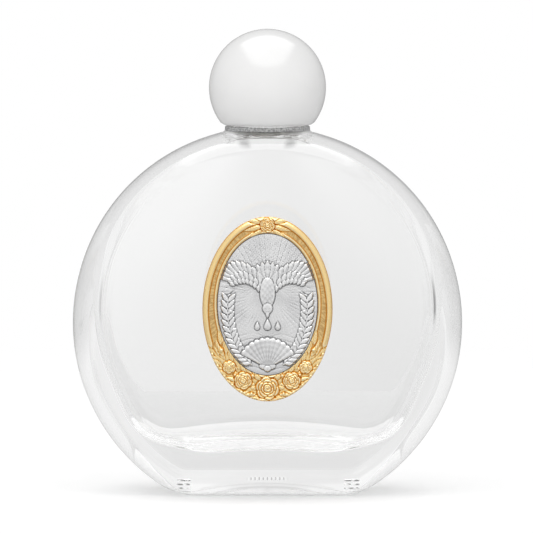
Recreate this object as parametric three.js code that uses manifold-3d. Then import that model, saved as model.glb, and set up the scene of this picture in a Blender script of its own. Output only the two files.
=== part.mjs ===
// A holy water flask: a round, flat glass bottle with a screwed ball cap and an oval plaque.
// Millimetres, +Z up. The origin is on the bottle's axis, at the plane it stands on.
// The plaque faces -Y.
import * as THREE from 'three';
import { mergeVertices } from 'three/addons/utils/BufferGeometryUtils.js';
import Module from 'manifold-3d';

// Glass body
const FLASK_DIAMETER = 95.1;
const FLASK_DEPTH = 32;
const FOOT_WIDTH = 46;
const EDGE_WIDTH = 5.5; // of the rounded edge, seen from the front
const EDGE_DEPTH = 13; // of the rounded edge, seen from the side
const FOOT_ROUND = 5.5; // along the front and back of the foot
const HEEL_ROUND = 2;
const CORNER_BLEND = 0.8; // where the rounded edge meets the foot's
const FACE_WALL = 2.6;
const RIM_WALL = 5.75;
const HOLLOW_LIFT = 3.4; // of the hollow's middle above the middle of the body
const HOLLOW_EDGE_WIDTH = 3.3;
const HOLLOW_EDGE_DEPTH = 4;
const FLOOR_THICKNESS = 8.9;
const FLOOR_FILLET = 8;
const FLOOR_CORNER = 14; // of the fillets at the narrow sides, seen from the front
const FLOOR_ARCH = 1.9;

// Glass neck
const NECK_RING_DIAMETER = 20.8;
const NECK_RING_STAND = 0.45; // above the top of the round body
const NECK_RING_EDGE = 0.4;
const NECK_FILLET = 3.2;
const FINISH_HEIGHT = 9.3; // from the ring to the lip
const FINISH_DIAMETER = 15.9; // at the root of the thread
const MOUTH_BORE = 9.6;
const LIP_ROUND = 0.6;
const BORE_FLARE = 3;

// Screw thread, right-handed
const THREAD_PITCH = 3.175;
const THREAD_HEIGHT = 0.9;
const THREAD_ROOT_WIDTH = 1.9;
const THREAD_CREST_WIDTH = 0.9;
const THREAD_TURNS = 1.6;
const THREAD_START = 2.2; // above the ring
const THREAD_CLEARANCE = 0.3;
const THREAD_SINK = 0.4; // how deep a ridge is rooted in its wall

// Ball cap
const BALL_DIAMETER = 28.6;
const BALL_WALL = 1.6;
const CAP_RIM_WALL = 1.1;
const CAP_RIM_ROUND = 0.6;
const CAP_GAP = 0.3; // between the neck ring and the cap
const INSERT_WALL = 0.7;
const INSERT_END = 1.2;
const INSERT_FLANGE = 1.1;
const INSERT_FIT = 0.1;
const COLLAR_WALL = 1;
const COLLAR_LENGTH = 7.1;
const LAP_HEIGHT = 1;
const SEAM_FIT = 0.1;
const LINER_THICKNESS = 1;
const LINER_FIT = 0.05;

// Plaque
const FRAME_WIDTH = 31.6;
const FRAME_HEIGHT = 44.9;
const FRAME_RISE = 1.65; // height of the rim above the frame's back
const PLAQUE_LIFT = 4.35; // centre of the frame above the centre of the body
const WINDOW_WIDTH = 24.5;
const WINDOW_HEIGHT = 34.7;
const WINDOW_LIFT = 1.15; // centre of the window above the centre of the frame
const RIM_BEAD = 1.3;
const INNER_LIP = 1.1;
const REBATE_WIDTH = 0.6;
const REBATE_DEPTH = 0.75;
const MEDALLION_EDGE = 0.55;
const MEDALLION_CROWN = 0.75;
const MEDALLION_FIT = 0.2;
const BACKING_THICKNESS = 0.5;
const BACKING_INSET = 0.8;
const ADHESIVE_THICKNESS = 0.25;
const ADHESIVE_INSET = 1.6;
const GLUE_FIT = 0.02;

// Smoothness
const AROUND = 48;
const CAP_AROUND = 36;
const RUN_OUT_STEPS = 3; // over which each end of a thread dies into its wall
const OVAL_STEPS = 52;

const TURN = 2 * Math.PI;
const bodyRadius = FLASK_DIAMETER / 2;
const bodyHalfDepth = FLASK_DEPTH / 2;
const bodyCentre = Math.sqrt(bodyRadius ** 2 - (FOOT_WIDTH / 2) ** 2);
const bodyTop = bodyCentre + bodyRadius;
const edgeDepth = Math.min(EDGE_DEPTH, bodyHalfDepth - 1);
const ringRadius = NECK_RING_DIAMETER / 2;
const ringTop = bodyTop + NECK_RING_STAND;
const finishRadius = FINISH_DIAMETER / 2;
const lipTop = ringTop + FINISH_HEIGHT;
const boreRadius = MOUTH_BORE / 2;

const capBottom = ringTop + CAP_GAP;
const ballRadius = BALL_DIAMETER / 2;
const socketRadius = finishRadius + THREAD_HEIGHT + THREAD_CLEARANCE;
const insertRadius = socketRadius + INSERT_WALL;
const collarBore = insertRadius + INSERT_FIT;
const collarRadius = collarBore + COLLAR_WALL;
const capRimRadius = collarBore + CAP_RIM_WALL;
const ballCentre = capBottom + Math.sqrt(ballRadius ** 2 - capRimRadius ** 2);
const collarTop = capBottom + COLLAR_LENGTH;
const linerBottom = lipTop + LINER_FIT;
const linerTop = linerBottom + LINER_THICKNESS;
const insertCeiling = linerTop + LINER_FIT;
const insertTop = insertCeiling + INSERT_END;

const wasm = await Module();
wasm.setup();

function toSolid(geometry) {
  const bare = geometry.clone();
  bare.deleteAttribute('normal');
  bare.deleteAttribute('uv');
  const merged = mergeVertices(bare, 1e-4);
  return new wasm.Manifold(new wasm.Mesh({
    numProp: 3,
    vertProperties: merged.attributes.position.array,
    triVerts: new Uint32Array(merged.index.array),
  }));
}

function toGeometry(solid) {
  const mesh = solid.getMesh();
  const geometry = new THREE.BufferGeometry();
  geometry.setAttribute('position', new THREE.BufferAttribute(mesh.vertProperties, 3));
  geometry.setIndex(new THREE.BufferAttribute(mesh.triVerts, 1));
  geometry.computeVertexNormals();
  return geometry;
}

// Quads between neighbouring rings of points, with the first and last ring closed by a fan.
function loft(rings, closed = false) {
  const count = rings[0].length;
  const points = rings.flat();
  const faces = [];
  const bands = closed ? rings.length : rings.length - 1;
  for (let k = 0; k < bands; k++) {
    const low = k * count;
    const high = ((k + 1) % rings.length) * count;
    for (let i = 0; i < count; i++) {
      const next = (i + 1) % count;
      faces.push(low + i, low + next, high + next, low + i, high + next, high + i);
    }
  }
  if (!closed) {
    const cap = (ring, first, flip) => {
      const centre = ring.reduce((sum, p) => sum.add(p), new THREE.Vector3());
      points.push(centre.divideScalar(count));
      for (let i = 0; i < count; i++) {
        const pair = [first + i, first + ((i + 1) % count)];
        if (flip) pair.reverse();
        faces.push(points.length - 1, ...pair);
      }
    };
    cap(rings[0], 0, true);
    cap(rings[rings.length - 1], (rings.length - 1) * count, false);
  }
  const geometry = new THREE.BufferGeometry().setFromPoints(points);
  geometry.setIndex(faces);
  return geometry;
}

function lathe(profile) {
  const points = [...profile, profile[0]].map(([r, z]) => new THREE.Vector2(r, z));
  return new THREE.LatheGeometry(points, CAP_AROUND).rotateX(Math.PI / 2);
}

// Points of an arc in a lathe profile, from one angle to another, in degrees.
function arc(r, z, radius, from, to, steps) {
  const points = [];
  for (let i = 0; i <= steps; i++) {
    const angle = THREE.MathUtils.degToRad(from + ((to - from) * i) / steps);
    points.push([r + radius * Math.cos(angle), z + radius * Math.sin(angle)]);
  }
  return points;
}

// Half of a disc's thickness at a distance from its edge, which is rounded to a quarter ellipse.
function edgeRoom(inset, halfDepth, width, depth) {
  const over = 1 - THREE.MathUtils.clamp(inset / width, 0, 1);
  return halfDepth - depth + depth * Math.sqrt(1 - over ** 2);
}

function footRoom(z) {
  return edgeRoom(z, bodyHalfDepth, FOOT_ROUND, FOOT_ROUND);
}

// Whether a point lies in a disc that stands on its edge, above the middle by a height.
function inDisc(x, y, height, radius, halfDepth, width, depth, foot = Infinity) {
  const inset = radius - Math.hypot(x, height);
  if (inset < 0) return false;
  const room = edgeRoom(inset, halfDepth, width, depth);
  const blend = THREE.MathUtils.clamp(halfDepth - foot, 1e-6, CORNER_BLEND);
  return Math.abs(y) <= -filleted(-room, -foot, blend);
}

// How far the level section of a shape reaches from the axis, at an angle.
function reach(inside, angle) {
  let near = 0;
  let far = FLASK_DIAMETER;
  for (let i = 0; i < 44; i++) {
    const r = (near + far) / 2;
    if (inside(r * Math.cos(angle), r * Math.sin(angle))) near = r;
    else far = r;
  }
  return near;
}

// The larger of two reaches, with a fillet where they are about equal.
function filleted(a, b, blend) {
  const near = Math.max(0, 1 - Math.abs(a - b) / blend);
  return Math.max(a, b) + (blend * near ** 2) / 4;
}

// A level ring round the axis. One point in every eight lies on the line where the flat face
// of the body ends, so the points are closer together at the narrow sides.
function levelRing(z, radiusAt) {
  const room = footRoom(z);
  const over = Math.sqrt(1 - ((room - bodyHalfDepth + edgeDepth) / edgeDepth) ** 2);
  const faceRadius = bodyRadius - EDGE_WIDTH * (1 - over);
  const faceEnd = Math.sqrt(Math.max(room ** 2, faceRadius ** 2 - (z - bodyCentre) ** 2));
  const squash = room / faceEnd;
  return Array.from({ length: AROUND }, (_, i) => {
    const step = (TURN * i) / AROUND;
    const angle = Math.atan2(squash * Math.sin(step), Math.cos(step));
    const r = radiusAt(angle);
    return new THREE.Vector3(r * Math.cos(angle), r * Math.sin(angle), z);
  });
}

function steps(from, to, count) {
  return Array.from({ length: count + 1 }, (_, i) => from + ((to - from) * i) / count);
}

function outerRings() {
  const disc = (z) => (angle) => reach((x, y) => inDisc(
    x, y, z - bodyCentre, bodyRadius, bodyHalfDepth, EDGE_WIDTH, edgeDepth, footRoom(z)), angle);
  const heel = steps(0, 90, 3).map((degrees) => {
    const bend = THREE.MathUtils.degToRad(degrees);
    const z = HEEL_ROUND * (1 - Math.cos(bend));
    const inset = HEEL_ROUND * (1 - Math.sin(bend));
    return levelRing(z, (angle) => disc(z)(angle) - inset);
  });
  const lowest = Math.asin((FOOT_ROUND - bodyCentre) / bodyRadius);
  const neckFoot = bodyTop - ringRadius ** 2 / (2 * bodyRadius);
  const highest = Math.asin((neckFoot - 1 - bodyCentre) / bodyRadius);
  const blended = (z) =>
    levelRing(z, (angle) => filleted(disc(z)(angle), ringRadius, NECK_FILLET));
  const foot = steps(HEEL_ROUND, FOOT_ROUND, 2).slice(1, -1).map(blended);
  const body = [...steps(lowest, 0, 8), ...steps(0, highest, 8).slice(1)]
    .map((turn) => blended(bodyCentre + bodyRadius * Math.sin(turn)));
  const collar = steps(neckFoot - 0.7, neckFoot + 0.5, 3).map(blended);
  const ring = [
    levelRing(ringTop - NECK_RING_EDGE, () => ringRadius),
    levelRing(ringTop - 0.3 * NECK_RING_EDGE, () => ringRadius - 0.3 * NECK_RING_EDGE),
    levelRing(ringTop, () => ringRadius - NECK_RING_EDGE),
  ];
  return [...heel, ...foot, ...body, ...collar, ...ring];
}

function finishRings() {
  const outside = arc(finishRadius - LIP_ROUND, lipTop - LIP_ROUND, LIP_ROUND, 0, 90, 2);
  const inside = arc(boreRadius + LIP_ROUND, lipTop - LIP_ROUND, LIP_ROUND, 90, 180, 2);
  return [[finishRadius, ringTop], ...outside, ...inside]
    .map(([r, z]) => levelRing(z, () => r));
}

// The hollow, from the bore down to a floor with wide fillets and a slight arch across its width.
function cavityRings() {
  const radius = bodyRadius - RIM_WALL;
  const halfDepth = bodyHalfDepth - FACE_WALL;
  const depth = Math.min(HOLLOW_EDGE_DEPTH, halfDepth - 1);
  const fillet = Math.min(FLOOR_FILLET, halfDepth - 1);
  const centre = bodyCentre + HOLLOW_LIFT;
  const hollow = (z, narrow = 1, thin = 1) => (angle) => reach((x, y) => inDisc(
    x / narrow, y / thin, z - centre, radius, halfDepth, HOLLOW_EDGE_WIDTH, depth), angle);
  const crown = centre + radius;
  const opened = (z) => levelRing(z, (angle) => filleted(hollow(z)(angle), boreRadius, BORE_FLARE));
  const throat = steps(bodyTop, crown - 0.9, 4).map(opened);
  const top = Math.asin(1 - 1.8 / radius);
  const filletTop = FLOOR_THICKNESS + fillet;
  const bottom = Math.asin((filletTop - centre) / radius);
  const sides = steps(top, bottom, 9).map((turn) => opened(centre + radius * Math.sin(turn)));
  const halfWidth = Math.sqrt(radius ** 2 - (filletTop - centre) ** 2);
  const floor = steps(0, 90, 5).slice(1).map((degrees) => {
    const bend = THREE.MathUtils.degToRad(degrees);
    const z = filletTop - fillet * Math.sin(bend);
    const inset = 1 - Math.cos(bend);
    return levelRing(
      z, hollow(z, 1 - (inset * FLOOR_CORNER) / halfWidth, 1 - (inset * fillet) / halfDepth));
  });
  const rings = [...throat, ...sides, ...floor];
  for (const point of rings.flat()) {
    const low = 1 - THREE.MathUtils.smoothstep(point.z, filletTop, filletTop + 1.5 * fillet);
    point.z += FLOOR_ARCH * low * (1 - 2 * (point.x / halfWidth) ** 2);
  }
  return rings;
}

// A thread ridge wound round the axis. It runs out into the wall at both ends. Its sections
// stand half a step from the corners of the wall, so that the two surfaces cross cleanly.
function threadRidge(wallRadius, crestRadius, firstHeight, turns, around) {
  const count = Math.round(turns * around);
  const outwards = Math.sign(crestRadius - wallRadius);
  const rootRadius = wallRadius - outwards * THREAD_SINK;
  const halfWidth = (r) => THREE.MathUtils.mapLinear(
    r, wallRadius, crestRadius, THREAD_ROOT_WIDTH / 2, THREAD_CREST_WIDTH / 2);
  const rings = steps(0.5, count + 0.5, count).map((step, i) => {
    const along = step / around;
    const fade = Math.min(1, i / RUN_OUT_STEPS, (count - i) / RUN_OUT_STEPS);
    const crest = THREE.MathUtils.lerp(rootRadius + outwards * 0.05, crestRadius, fade);
    const z = firstHeight + along * THREAD_PITCH;
    const angle = along * TURN;
    const section = [
      [rootRadius, -halfWidth(rootRadius)],
      [crest, -halfWidth(crest)],
      [crest, halfWidth(crest)],
      [rootRadius, halfWidth(rootRadius)],
    ];
    if (outwards > 0) section.reverse();
    return section.map(([r, up]) =>
      new THREE.Vector3(r * Math.cos(angle), r * Math.sin(angle), z + up));
  });
  return toSolid(loft(rings));
}

function glassBottle() {
  const bottle = toSolid(loft([...outerRings(), ...finishRings(), ...cavityRings()]));
  const thread = threadRidge(
    finishRadius, finishRadius + THREAD_HEIGHT, ringTop + THREAD_START, THREAD_TURNS, AROUND);
  return toGeometry(bottle.add(thread));
}

const lapRadius = ballRadius - BALL_WALL / 2;

function capDome() {
  const open = THREE.MathUtils.radToDeg(Math.asin((LAP_HEIGHT + SEAM_FIT) / (ballRadius - BALL_WALL)));
  return lathe([
    ...arc(0, ballCentre, ballRadius, 90, 0, 9),
    [lapRadius + SEAM_FIT, ballCentre],
    [lapRadius + SEAM_FIT, ballCentre + LAP_HEIGHT + SEAM_FIT],
    ...arc(0, ballCentre, ballRadius - BALL_WALL, open, 90, 6),
  ].reverse());
}

function capBase() {
  const rimAngle = THREE.MathUtils.radToDeg(Math.asin((ballCentre - capBottom) / ballRadius));
  const innerRadius = ballRadius - BALL_WALL;
  const meet = THREE.MathUtils.radToDeg(Math.acos(Math.min(0.98, collarRadius / innerRadius)));
  return lathe([
    [collarBore, capBottom],
    [capRimRadius - CAP_RIM_ROUND, capBottom],
    ...arc(0, ballCentre, ballRadius, -rimAngle + 3, 0, 5)
      .map(([r, z]) => [r, z - (z === ballCentre ? SEAM_FIT : 0)]),
    [lapRadius, ballCentre - SEAM_FIT],
    [lapRadius, ballCentre + LAP_HEIGHT],
    [innerRadius - 0.1, ballCentre + LAP_HEIGHT],
    ...arc(0, ballCentre, innerRadius, 0, -meet, 4),
    [collarRadius, collarTop],
    [collarBore, collarTop],
  ]);
}

function capInsert() {
  const bottom = capBottom + SEAM_FIT;
  const flangeBottom = collarTop + INSERT_FIT;
  const body = toSolid(lathe([
    [socketRadius, bottom],
    [insertRadius, bottom],
    [insertRadius, flangeBottom],
    [collarRadius, flangeBottom],
    [collarRadius, flangeBottom + INSERT_FLANGE],
    [insertRadius, flangeBottom + INSERT_FLANGE],
    [insertRadius, insertTop],
    [0, insertTop],
    [0, insertCeiling],
    [socketRadius, insertCeiling],
  ]));
  const first = ringTop + THREAD_START - THREAD_PITCH / 2;
  const lowest = bottom + THREAD_ROOT_WIDTH / 2;
  const start = first < lowest ? first + THREAD_PITCH : first;
  const room = linerBottom - THREAD_ROOT_WIDTH / 2 - start;
  const turns = Math.min(THREAD_TURNS, room / THREAD_PITCH);
  const crest = finishRadius + THREAD_CLEARANCE;
  const ridge = threadRidge(socketRadius, crest, start, turns, CAP_AROUND);
  return toGeometry(body.add(ridge));
}

function capLiner() {
  const radius = finishRadius + THREAD_CLEARANCE - LINER_FIT;
  return lathe([
    [0, linerBottom],
    [radius, linerBottom],
    [radius, linerTop],
    [0, linerTop],
  ]);
}

// The plaque is drawn face on: X right, Y up, Z out of the glass.
const frameOval = { wide: FRAME_WIDTH / 2, high: FRAME_HEIGHT / 2, lift: 0 };
const windowOval = { wide: WINDOW_WIDTH / 2, high: WINDOW_HEIGHT / 2, lift: WINDOW_LIFT };

function grown(oval, by) {
  return { wide: oval.wide + by, high: oval.high + by, lift: oval.lift };
}

function ovalPoint(oval, angle) {
  return new THREE.Vector2(oval.wide * Math.cos(angle), oval.high * Math.sin(angle) + oval.lift);
}

function ovalPlate(oval, bottom, top) {
  const shape = new THREE.Shape(steps(0, TURN, OVAL_STEPS).slice(1).map((a) => ovalPoint(oval, a)));
  const depth = top - bottom;
  return new THREE.ExtrudeGeometry(shape, { depth, bevelEnabled: false }).translate(0, 0, bottom);
}

// The moulded section of the frame: a bead, a hollow band and a lip round the window. A band
// too narrow to hold both mouldings draws them in.
function frameSection(band) {
  const narrow = Math.min(1, (0.8 * band) / (RIM_BEAD + INNER_LIP));
  const bead = narrow * RIM_BEAD;
  const lipWidth = narrow * INNER_LIP;
  const lip = band - lipWidth;
  return [
    [band + REBATE_WIDTH - 0.6, REBATE_DEPTH + 0.1],
    [band, 0.62 * FRAME_RISE],
    [band - 0.3 * lipWidth, 0.72 * FRAME_RISE],
    [lip + 0.2 * lipWidth, 0.72 * FRAME_RISE],
    [lip, 0.58 * FRAME_RISE],
    [(bead + lip) / 2, 0.6 * FRAME_RISE],
    [bead, 0.84 * FRAME_RISE],
    [0.65 * bead, FRAME_RISE],
    [0.25 * bead, 0.88 * FRAME_RISE],
    [0, 0.5 * FRAME_RISE],
    [0, 0],
    [band - REBATE_WIDTH, 0],
    [band - REBATE_WIDTH, REBATE_DEPTH],
  ];
}

function frameRing() {
  const rings = steps(0, TURN, OVAL_STEPS).slice(1).map((angle) => {
    const outer = ovalPoint(frameOval, angle);
    const inner = ovalPoint(windowOval, angle);
    const band = outer.distanceTo(inner);
    return frameSection(band).map(([across, height]) => {
      const spot = outer.clone().lerp(inner, across / band);
      return new THREE.Vector3(spot.x, spot.y, height);
    });
  });
  return loft(rings, true);
}

// Roses of the garland, from the middle outwards: distance from the middle and radius.
const GARLAND = [
  { across: 0, radius: 2.7 },
  { across: 5.5, radius: 1.95 },
  { across: 8.8, radius: 1.35 },
];
const TOP_FLOWER = 1.5;
const ROSE_STEPS = 15;
const BLOOM_SEAT = 0.45 * FRAME_RISE;

// Middle of the frame's band below (side -1) or above (side 1), at a distance from the centre line.
function bandMiddle(across, side) {
  const edge = (oval) => oval.lift + side * oval.high * Math.sqrt(1 - (across / oval.wide) ** 2);
  return (edge(frameOval) + edge(windowOval)) / 2;
}

// A flower head: rings of petals that step down and in towards its heart.
function bloom(x, y, radius, petals, rise) {
  const levels = [
    [1, 0, 0.1],
    [1, 0.5, 0.1],
    [0.86, 0.78, 0.12],
    [0.62, 0.62, 0.05],
    [0.55, 1, 0.12],
    [0.26, 1.05, 0],
  ];
  const rings = levels.map(([share, height, lobe], level) =>
    steps(0, TURN, ROSE_STEPS).slice(1).map((angle) => {
      const wave = lobe * Math.cos(petals * angle + (level > 3 ? Math.PI : 0));
      const r = radius * share * (1 + wave);
      return new THREE.Vector3(x + r * Math.cos(angle), y + r * Math.sin(angle),
        BLOOM_SEAT + rise * height);
    }));
  return toSolid(loft(rings));
}

// A leaf with a raised midrib, lying on the frame.
function leaf(x, y, length, width, degrees) {
  const outline = (scale, height) => steps(0, TURN, 8).slice(1).map((angle) => {
    const along = Math.cos(angle);
    const side = Math.sin(angle) * (1 - 0.45 * along ** 2);
    return new THREE.Vector3(scale * along * length / 2, scale * side * width / 2, height);
  });
  const solid = toSolid(loft([outline(1, 0), outline(1, 0.45), outline(0.55, 0.75)]));
  const place = new THREE.Matrix4()
    .makeRotationZ(THREE.MathUtils.degToRad(degrees))
    .setPosition(x, y, BLOOM_SEAT);
  return toSolid(toGeometry(solid).applyMatrix4(place));
}

function plaqueFrame() {
  let frame = toSolid(frameRing());
  const mirrored = (add, across) => (across === 0 ? [0] : [-1, 1]).forEach(add);
  for (const { across, radius } of GARLAND) {
    mirrored((side) => {
      frame = frame.add(bloom(side * across, bandMiddle(across, -1), radius, 5, 0.8));
    }, across);
  }
  const leaves = [
    { across: 3.1, drop: -0.9, length: 2.2, width: 1.1, tilt: -50, side: -1 },
    { across: 7.4, drop: -1.1, length: 2, width: 1, tilt: -20, side: -1 },
    { across: 7, drop: 1.9, length: 1.8, width: 0.9, tilt: 60, side: -1 },
    { across: 10.7, drop: 0.2, length: 3.2, width: 1.3, tilt: 62, side: -1 },
    { across: 11.9, drop: 0.4, length: 3, width: 1.2, tilt: 82, side: -1 },
    { across: 2.9, drop: -0.3, length: 3.4, width: 1.2, tilt: -18, side: 1 },
    { across: 3, drop: 0.7, length: 2.8, width: 1, tilt: 10, side: 1 },
  ];
  for (const { across, drop, length, width, tilt, side } of leaves) {
    for (const hand of [-1, 1]) {
      const angle = hand > 0 ? tilt : 180 - tilt;
      const y = bandMiddle(across, side) + drop;
      frame = frame.add(leaf(hand * across, y, length, width, angle));
    }
  }
  frame = frame.add(bloom(0, bandMiddle(0, 1), TOP_FLOWER, 5, 0.7));
  return toGeometry(frame);
}

function plaqueMedallion() {
  const flange = grown(windowOval, REBATE_WIDTH - MEDALLION_FIT);
  const face = grown(windowOval, -MEDALLION_FIT);
  const level = (oval, share, height) => steps(0, TURN, OVAL_STEPS).slice(1).map((angle) => {
    const spot = ovalPoint(oval, angle);
    return new THREE.Vector3(share * spot.x, share * (spot.y - oval.lift) + oval.lift, height);
  });
  const rings = [
    level(flange, 1, 0),
    level(flange, 1, MEDALLION_EDGE),
    level(face, 1, MEDALLION_EDGE),
    ...[1, 0.97, 0.85, 0.68, 0.45, 0.22].map((share) =>
      level(face, share, REBATE_DEPTH + MEDALLION_CROWN * (1 - share ** 2))),
  ];
  return loft(rings);
}

const glass = { color: 0xeef3f2, roughness: 0.03, metalness: 0, transparent: true, opacity: 0.35 };
const whitePlastic = { color: 0xf2f2f3, roughness: 0.12, metalness: 0 };
const innerPlastic = { color: 0xe9e7e2, roughness: 0.45, metalness: 0 };
const foam = { color: 0xf3f1ea, roughness: 0.9, metalness: 0 };
const gilt = { color: 0xe2b457, roughness: 0.32, metalness: 1 };
const silver = { color: 0xc9cacc, roughness: 0.34, metalness: 1 };
const backingSteel = { color: 0x9b9da0, roughness: 0.45, metalness: 1 };
const clearGlue = { color: 0xd9d9d4, roughness: 0.5, metalness: 0 };

function part(name, geometry, finish) {
  const mesh = new THREE.Mesh(geometry, new THREE.MeshStandardMaterial(finish));
  mesh.name = name;
  return mesh;
}

const bottle = new THREE.Group();
bottle.add(part('glass_bottle', glassBottle(), glass));

const cap = new THREE.Group();
cap.add(
  part('cap_dome', capDome(), whitePlastic),
  part('cap_base', capBase(), whitePlastic),
  part('cap_insert', capInsert(), innerPlastic),
  part('cap_liner', capLiner(), foam),
);

const backingTop = ADHESIVE_THICKNESS + BACKING_THICKNESS;
const backingOval = grown(frameOval, -BACKING_INSET);
const adhesiveOval = grown(frameOval, -ADHESIVE_INSET);
const plaque = new THREE.Group();
const setting = new THREE.Group();
setting.add(
  part('plaque_frame', plaqueFrame(), gilt),
  part('plaque_medallion', plaqueMedallion(), silver),
);
setting.position.z = backingTop;
plaque.add(
  part('plaque_adhesive', ovalPlate(adhesiveOval, 0, ADHESIVE_THICKNESS), clearGlue),
  part('plaque_backing', ovalPlate(backingOval, ADHESIVE_THICKNESS, backingTop), backingSteel),
  setting,
);
plaque.rotation.x = Math.PI / 2;
plaque.position.set(0, -(bodyHalfDepth + GLUE_FIT), bodyCentre + PLAQUE_LIFT);

const holyWaterBottle = new THREE.Group();
holyWaterBottle.add(bottle, cap, plaque);
export default holyWaterBottle;
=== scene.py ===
# %% [markdown]
# A round glass flask for holy water, with a white ball cap and a gilt oval plaque.
# The working model comes first. It holds every piece at its real size and place, in metres,
# with +Z up and the plaque facing -Y. Nothing in it is moved here: this lesson builds finer
# surfaces over it and gives every surface its material.

# %% Load the working model
import math

import bpy
import numpy as np
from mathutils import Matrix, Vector


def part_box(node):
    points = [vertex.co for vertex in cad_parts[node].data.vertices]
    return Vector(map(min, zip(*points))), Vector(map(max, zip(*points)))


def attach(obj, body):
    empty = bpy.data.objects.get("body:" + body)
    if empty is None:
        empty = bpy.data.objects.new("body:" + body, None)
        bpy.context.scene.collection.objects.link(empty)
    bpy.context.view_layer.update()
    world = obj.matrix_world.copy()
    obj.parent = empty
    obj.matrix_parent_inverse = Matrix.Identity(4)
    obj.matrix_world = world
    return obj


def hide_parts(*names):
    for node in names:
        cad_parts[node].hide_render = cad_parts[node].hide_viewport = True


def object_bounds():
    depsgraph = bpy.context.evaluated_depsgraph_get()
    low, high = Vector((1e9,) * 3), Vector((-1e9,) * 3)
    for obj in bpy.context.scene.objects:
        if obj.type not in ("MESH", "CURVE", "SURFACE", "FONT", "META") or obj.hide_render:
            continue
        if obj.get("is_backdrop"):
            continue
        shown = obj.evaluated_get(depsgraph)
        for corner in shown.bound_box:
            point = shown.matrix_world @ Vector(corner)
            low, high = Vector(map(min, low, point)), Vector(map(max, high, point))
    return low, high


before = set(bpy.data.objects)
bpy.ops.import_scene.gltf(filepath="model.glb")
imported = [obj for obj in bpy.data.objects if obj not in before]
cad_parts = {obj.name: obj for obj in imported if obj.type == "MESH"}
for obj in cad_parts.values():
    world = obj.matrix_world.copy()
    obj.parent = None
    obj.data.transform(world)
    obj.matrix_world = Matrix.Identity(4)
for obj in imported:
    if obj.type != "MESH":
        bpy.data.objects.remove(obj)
model_low, model_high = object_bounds()

# %% [markdown]
# Sizes come from the working model where it can give them, and the rest are written once, as
# real sizes. Millimetres are easier to read on a bottle, so they are written as numbers * MM.

# %% Main sizes of the flask
MM = 0.001
TURN = 2 * math.pi

glass_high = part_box("glass_bottle")[1]
BODY_RADIUS = glass_high.x
HALF_DEPTH = glass_high.y
LIP_TOP = glass_high.z
FOOT_WIDTH = 46 * MM
EDGE_WIDTH = 5.5 * MM
EDGE_DEPTH = 13 * MM
FOOT_ROUND = 5.5 * MM
HEEL_ROUND = 2 * MM
CORNER_BLEND = 0.8 * MM
body_centre = math.sqrt(BODY_RADIUS**2 - (FOOT_WIDTH / 2) ** 2)
body_top = body_centre + BODY_RADIUS
print(f"body {2000 * BODY_RADIUS:.1f} mm across, centre {1000 * body_centre:.1f} mm up")

# %% [markdown]
# Most surfaces here are grids of points worked out by a formula: rows run along a section and
# columns run round the piece. A grid is quick to make with numpy, it is as smooth as its
# formula, and it has no stray faces. One helper turns any such grid into a mesh.

# %% Helper: a skin over a grid of points
def skin(name, grid, around=True, closed=False, capped=(), flat_rows=()):
    """A mesh over rows and columns of points. around joins the last column to the first,
    closed joins the last row to the first, capped names the rows closed by a fan, and
    flat_rows names the rows of faces that are shaded flat."""
    rows, columns = grid.shape[:2]
    index = np.arange(rows * columns).reshape(rows, columns)
    low = index if closed else index[:-1]
    high = np.roll(index, -1, axis=0) if closed else index[1:]
    if around:
        here, there = (low, high), (np.roll(low, -1, axis=1), np.roll(high, -1, axis=1))
    else:
        here, there = (low[:, :-1], high[:, :-1]), (low[:, 1:], high[:, 1:])
    quads = np.stack([here[0], there[0], there[1], here[1]], axis=-1)
    smooth = np.ones(quads.shape[:2], bool)
    smooth[list(flat_rows)] = False
    points = [grid.reshape(-1, 3)]
    faces = quads.reshape(-1, 4).tolist()
    for row in capped:
        ring = index[row]
        centre = rows * columns + len(points) - 1
        points.append(grid[row].mean(axis=0)[None])
        pairs = zip(ring, np.roll(ring, -1)) if row else zip(np.roll(ring, -1), ring)
        faces += [(int(a), int(b), centre) for a, b in pairs]
    mesh = bpy.data.meshes.new(name)
    mesh.from_pydata(np.concatenate(points).tolist(), [], faces)
    flags = np.ones(len(faces), bool)
    flags[: smooth.size] = smooth.reshape(-1)
    mesh.polygons.foreach_set("use_smooth", flags)
    mesh.update()
    piece = bpy.data.objects.new(name, mesh)
    bpy.context.scene.collection.objects.link(piece)
    return piece


def smoothstep(low, high, x):
    t = np.clip((x - low) / (high - low), 0, 1)
    return t * t * (3 - 2 * t)


def mark(piece, name, values, kind="FLOAT"):
    """Keeps a number or a vector for each point of the mesh, for its material to read."""
    values = np.asarray(values, np.float32)
    missing = len(piece.data.vertices) - len(values)
    if missing:
        values = np.concatenate([values, np.repeat(values[-1:], missing, axis=0)])
    attribute = piece.data.attributes.new(name, kind, "POINT")
    attribute.data.foreach_set("vector" if kind == "FLOAT_VECTOR" else "value", values.ravel())


# %% [markdown]
# Shader maths reads best as plain sums. This small class wraps the output of a node, and each
# operator adds the Math node that does it, so 1 - mask works as it does on paper. Every other
# node comes from one method, which takes its type, its settings and what goes into its sockets.

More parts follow.
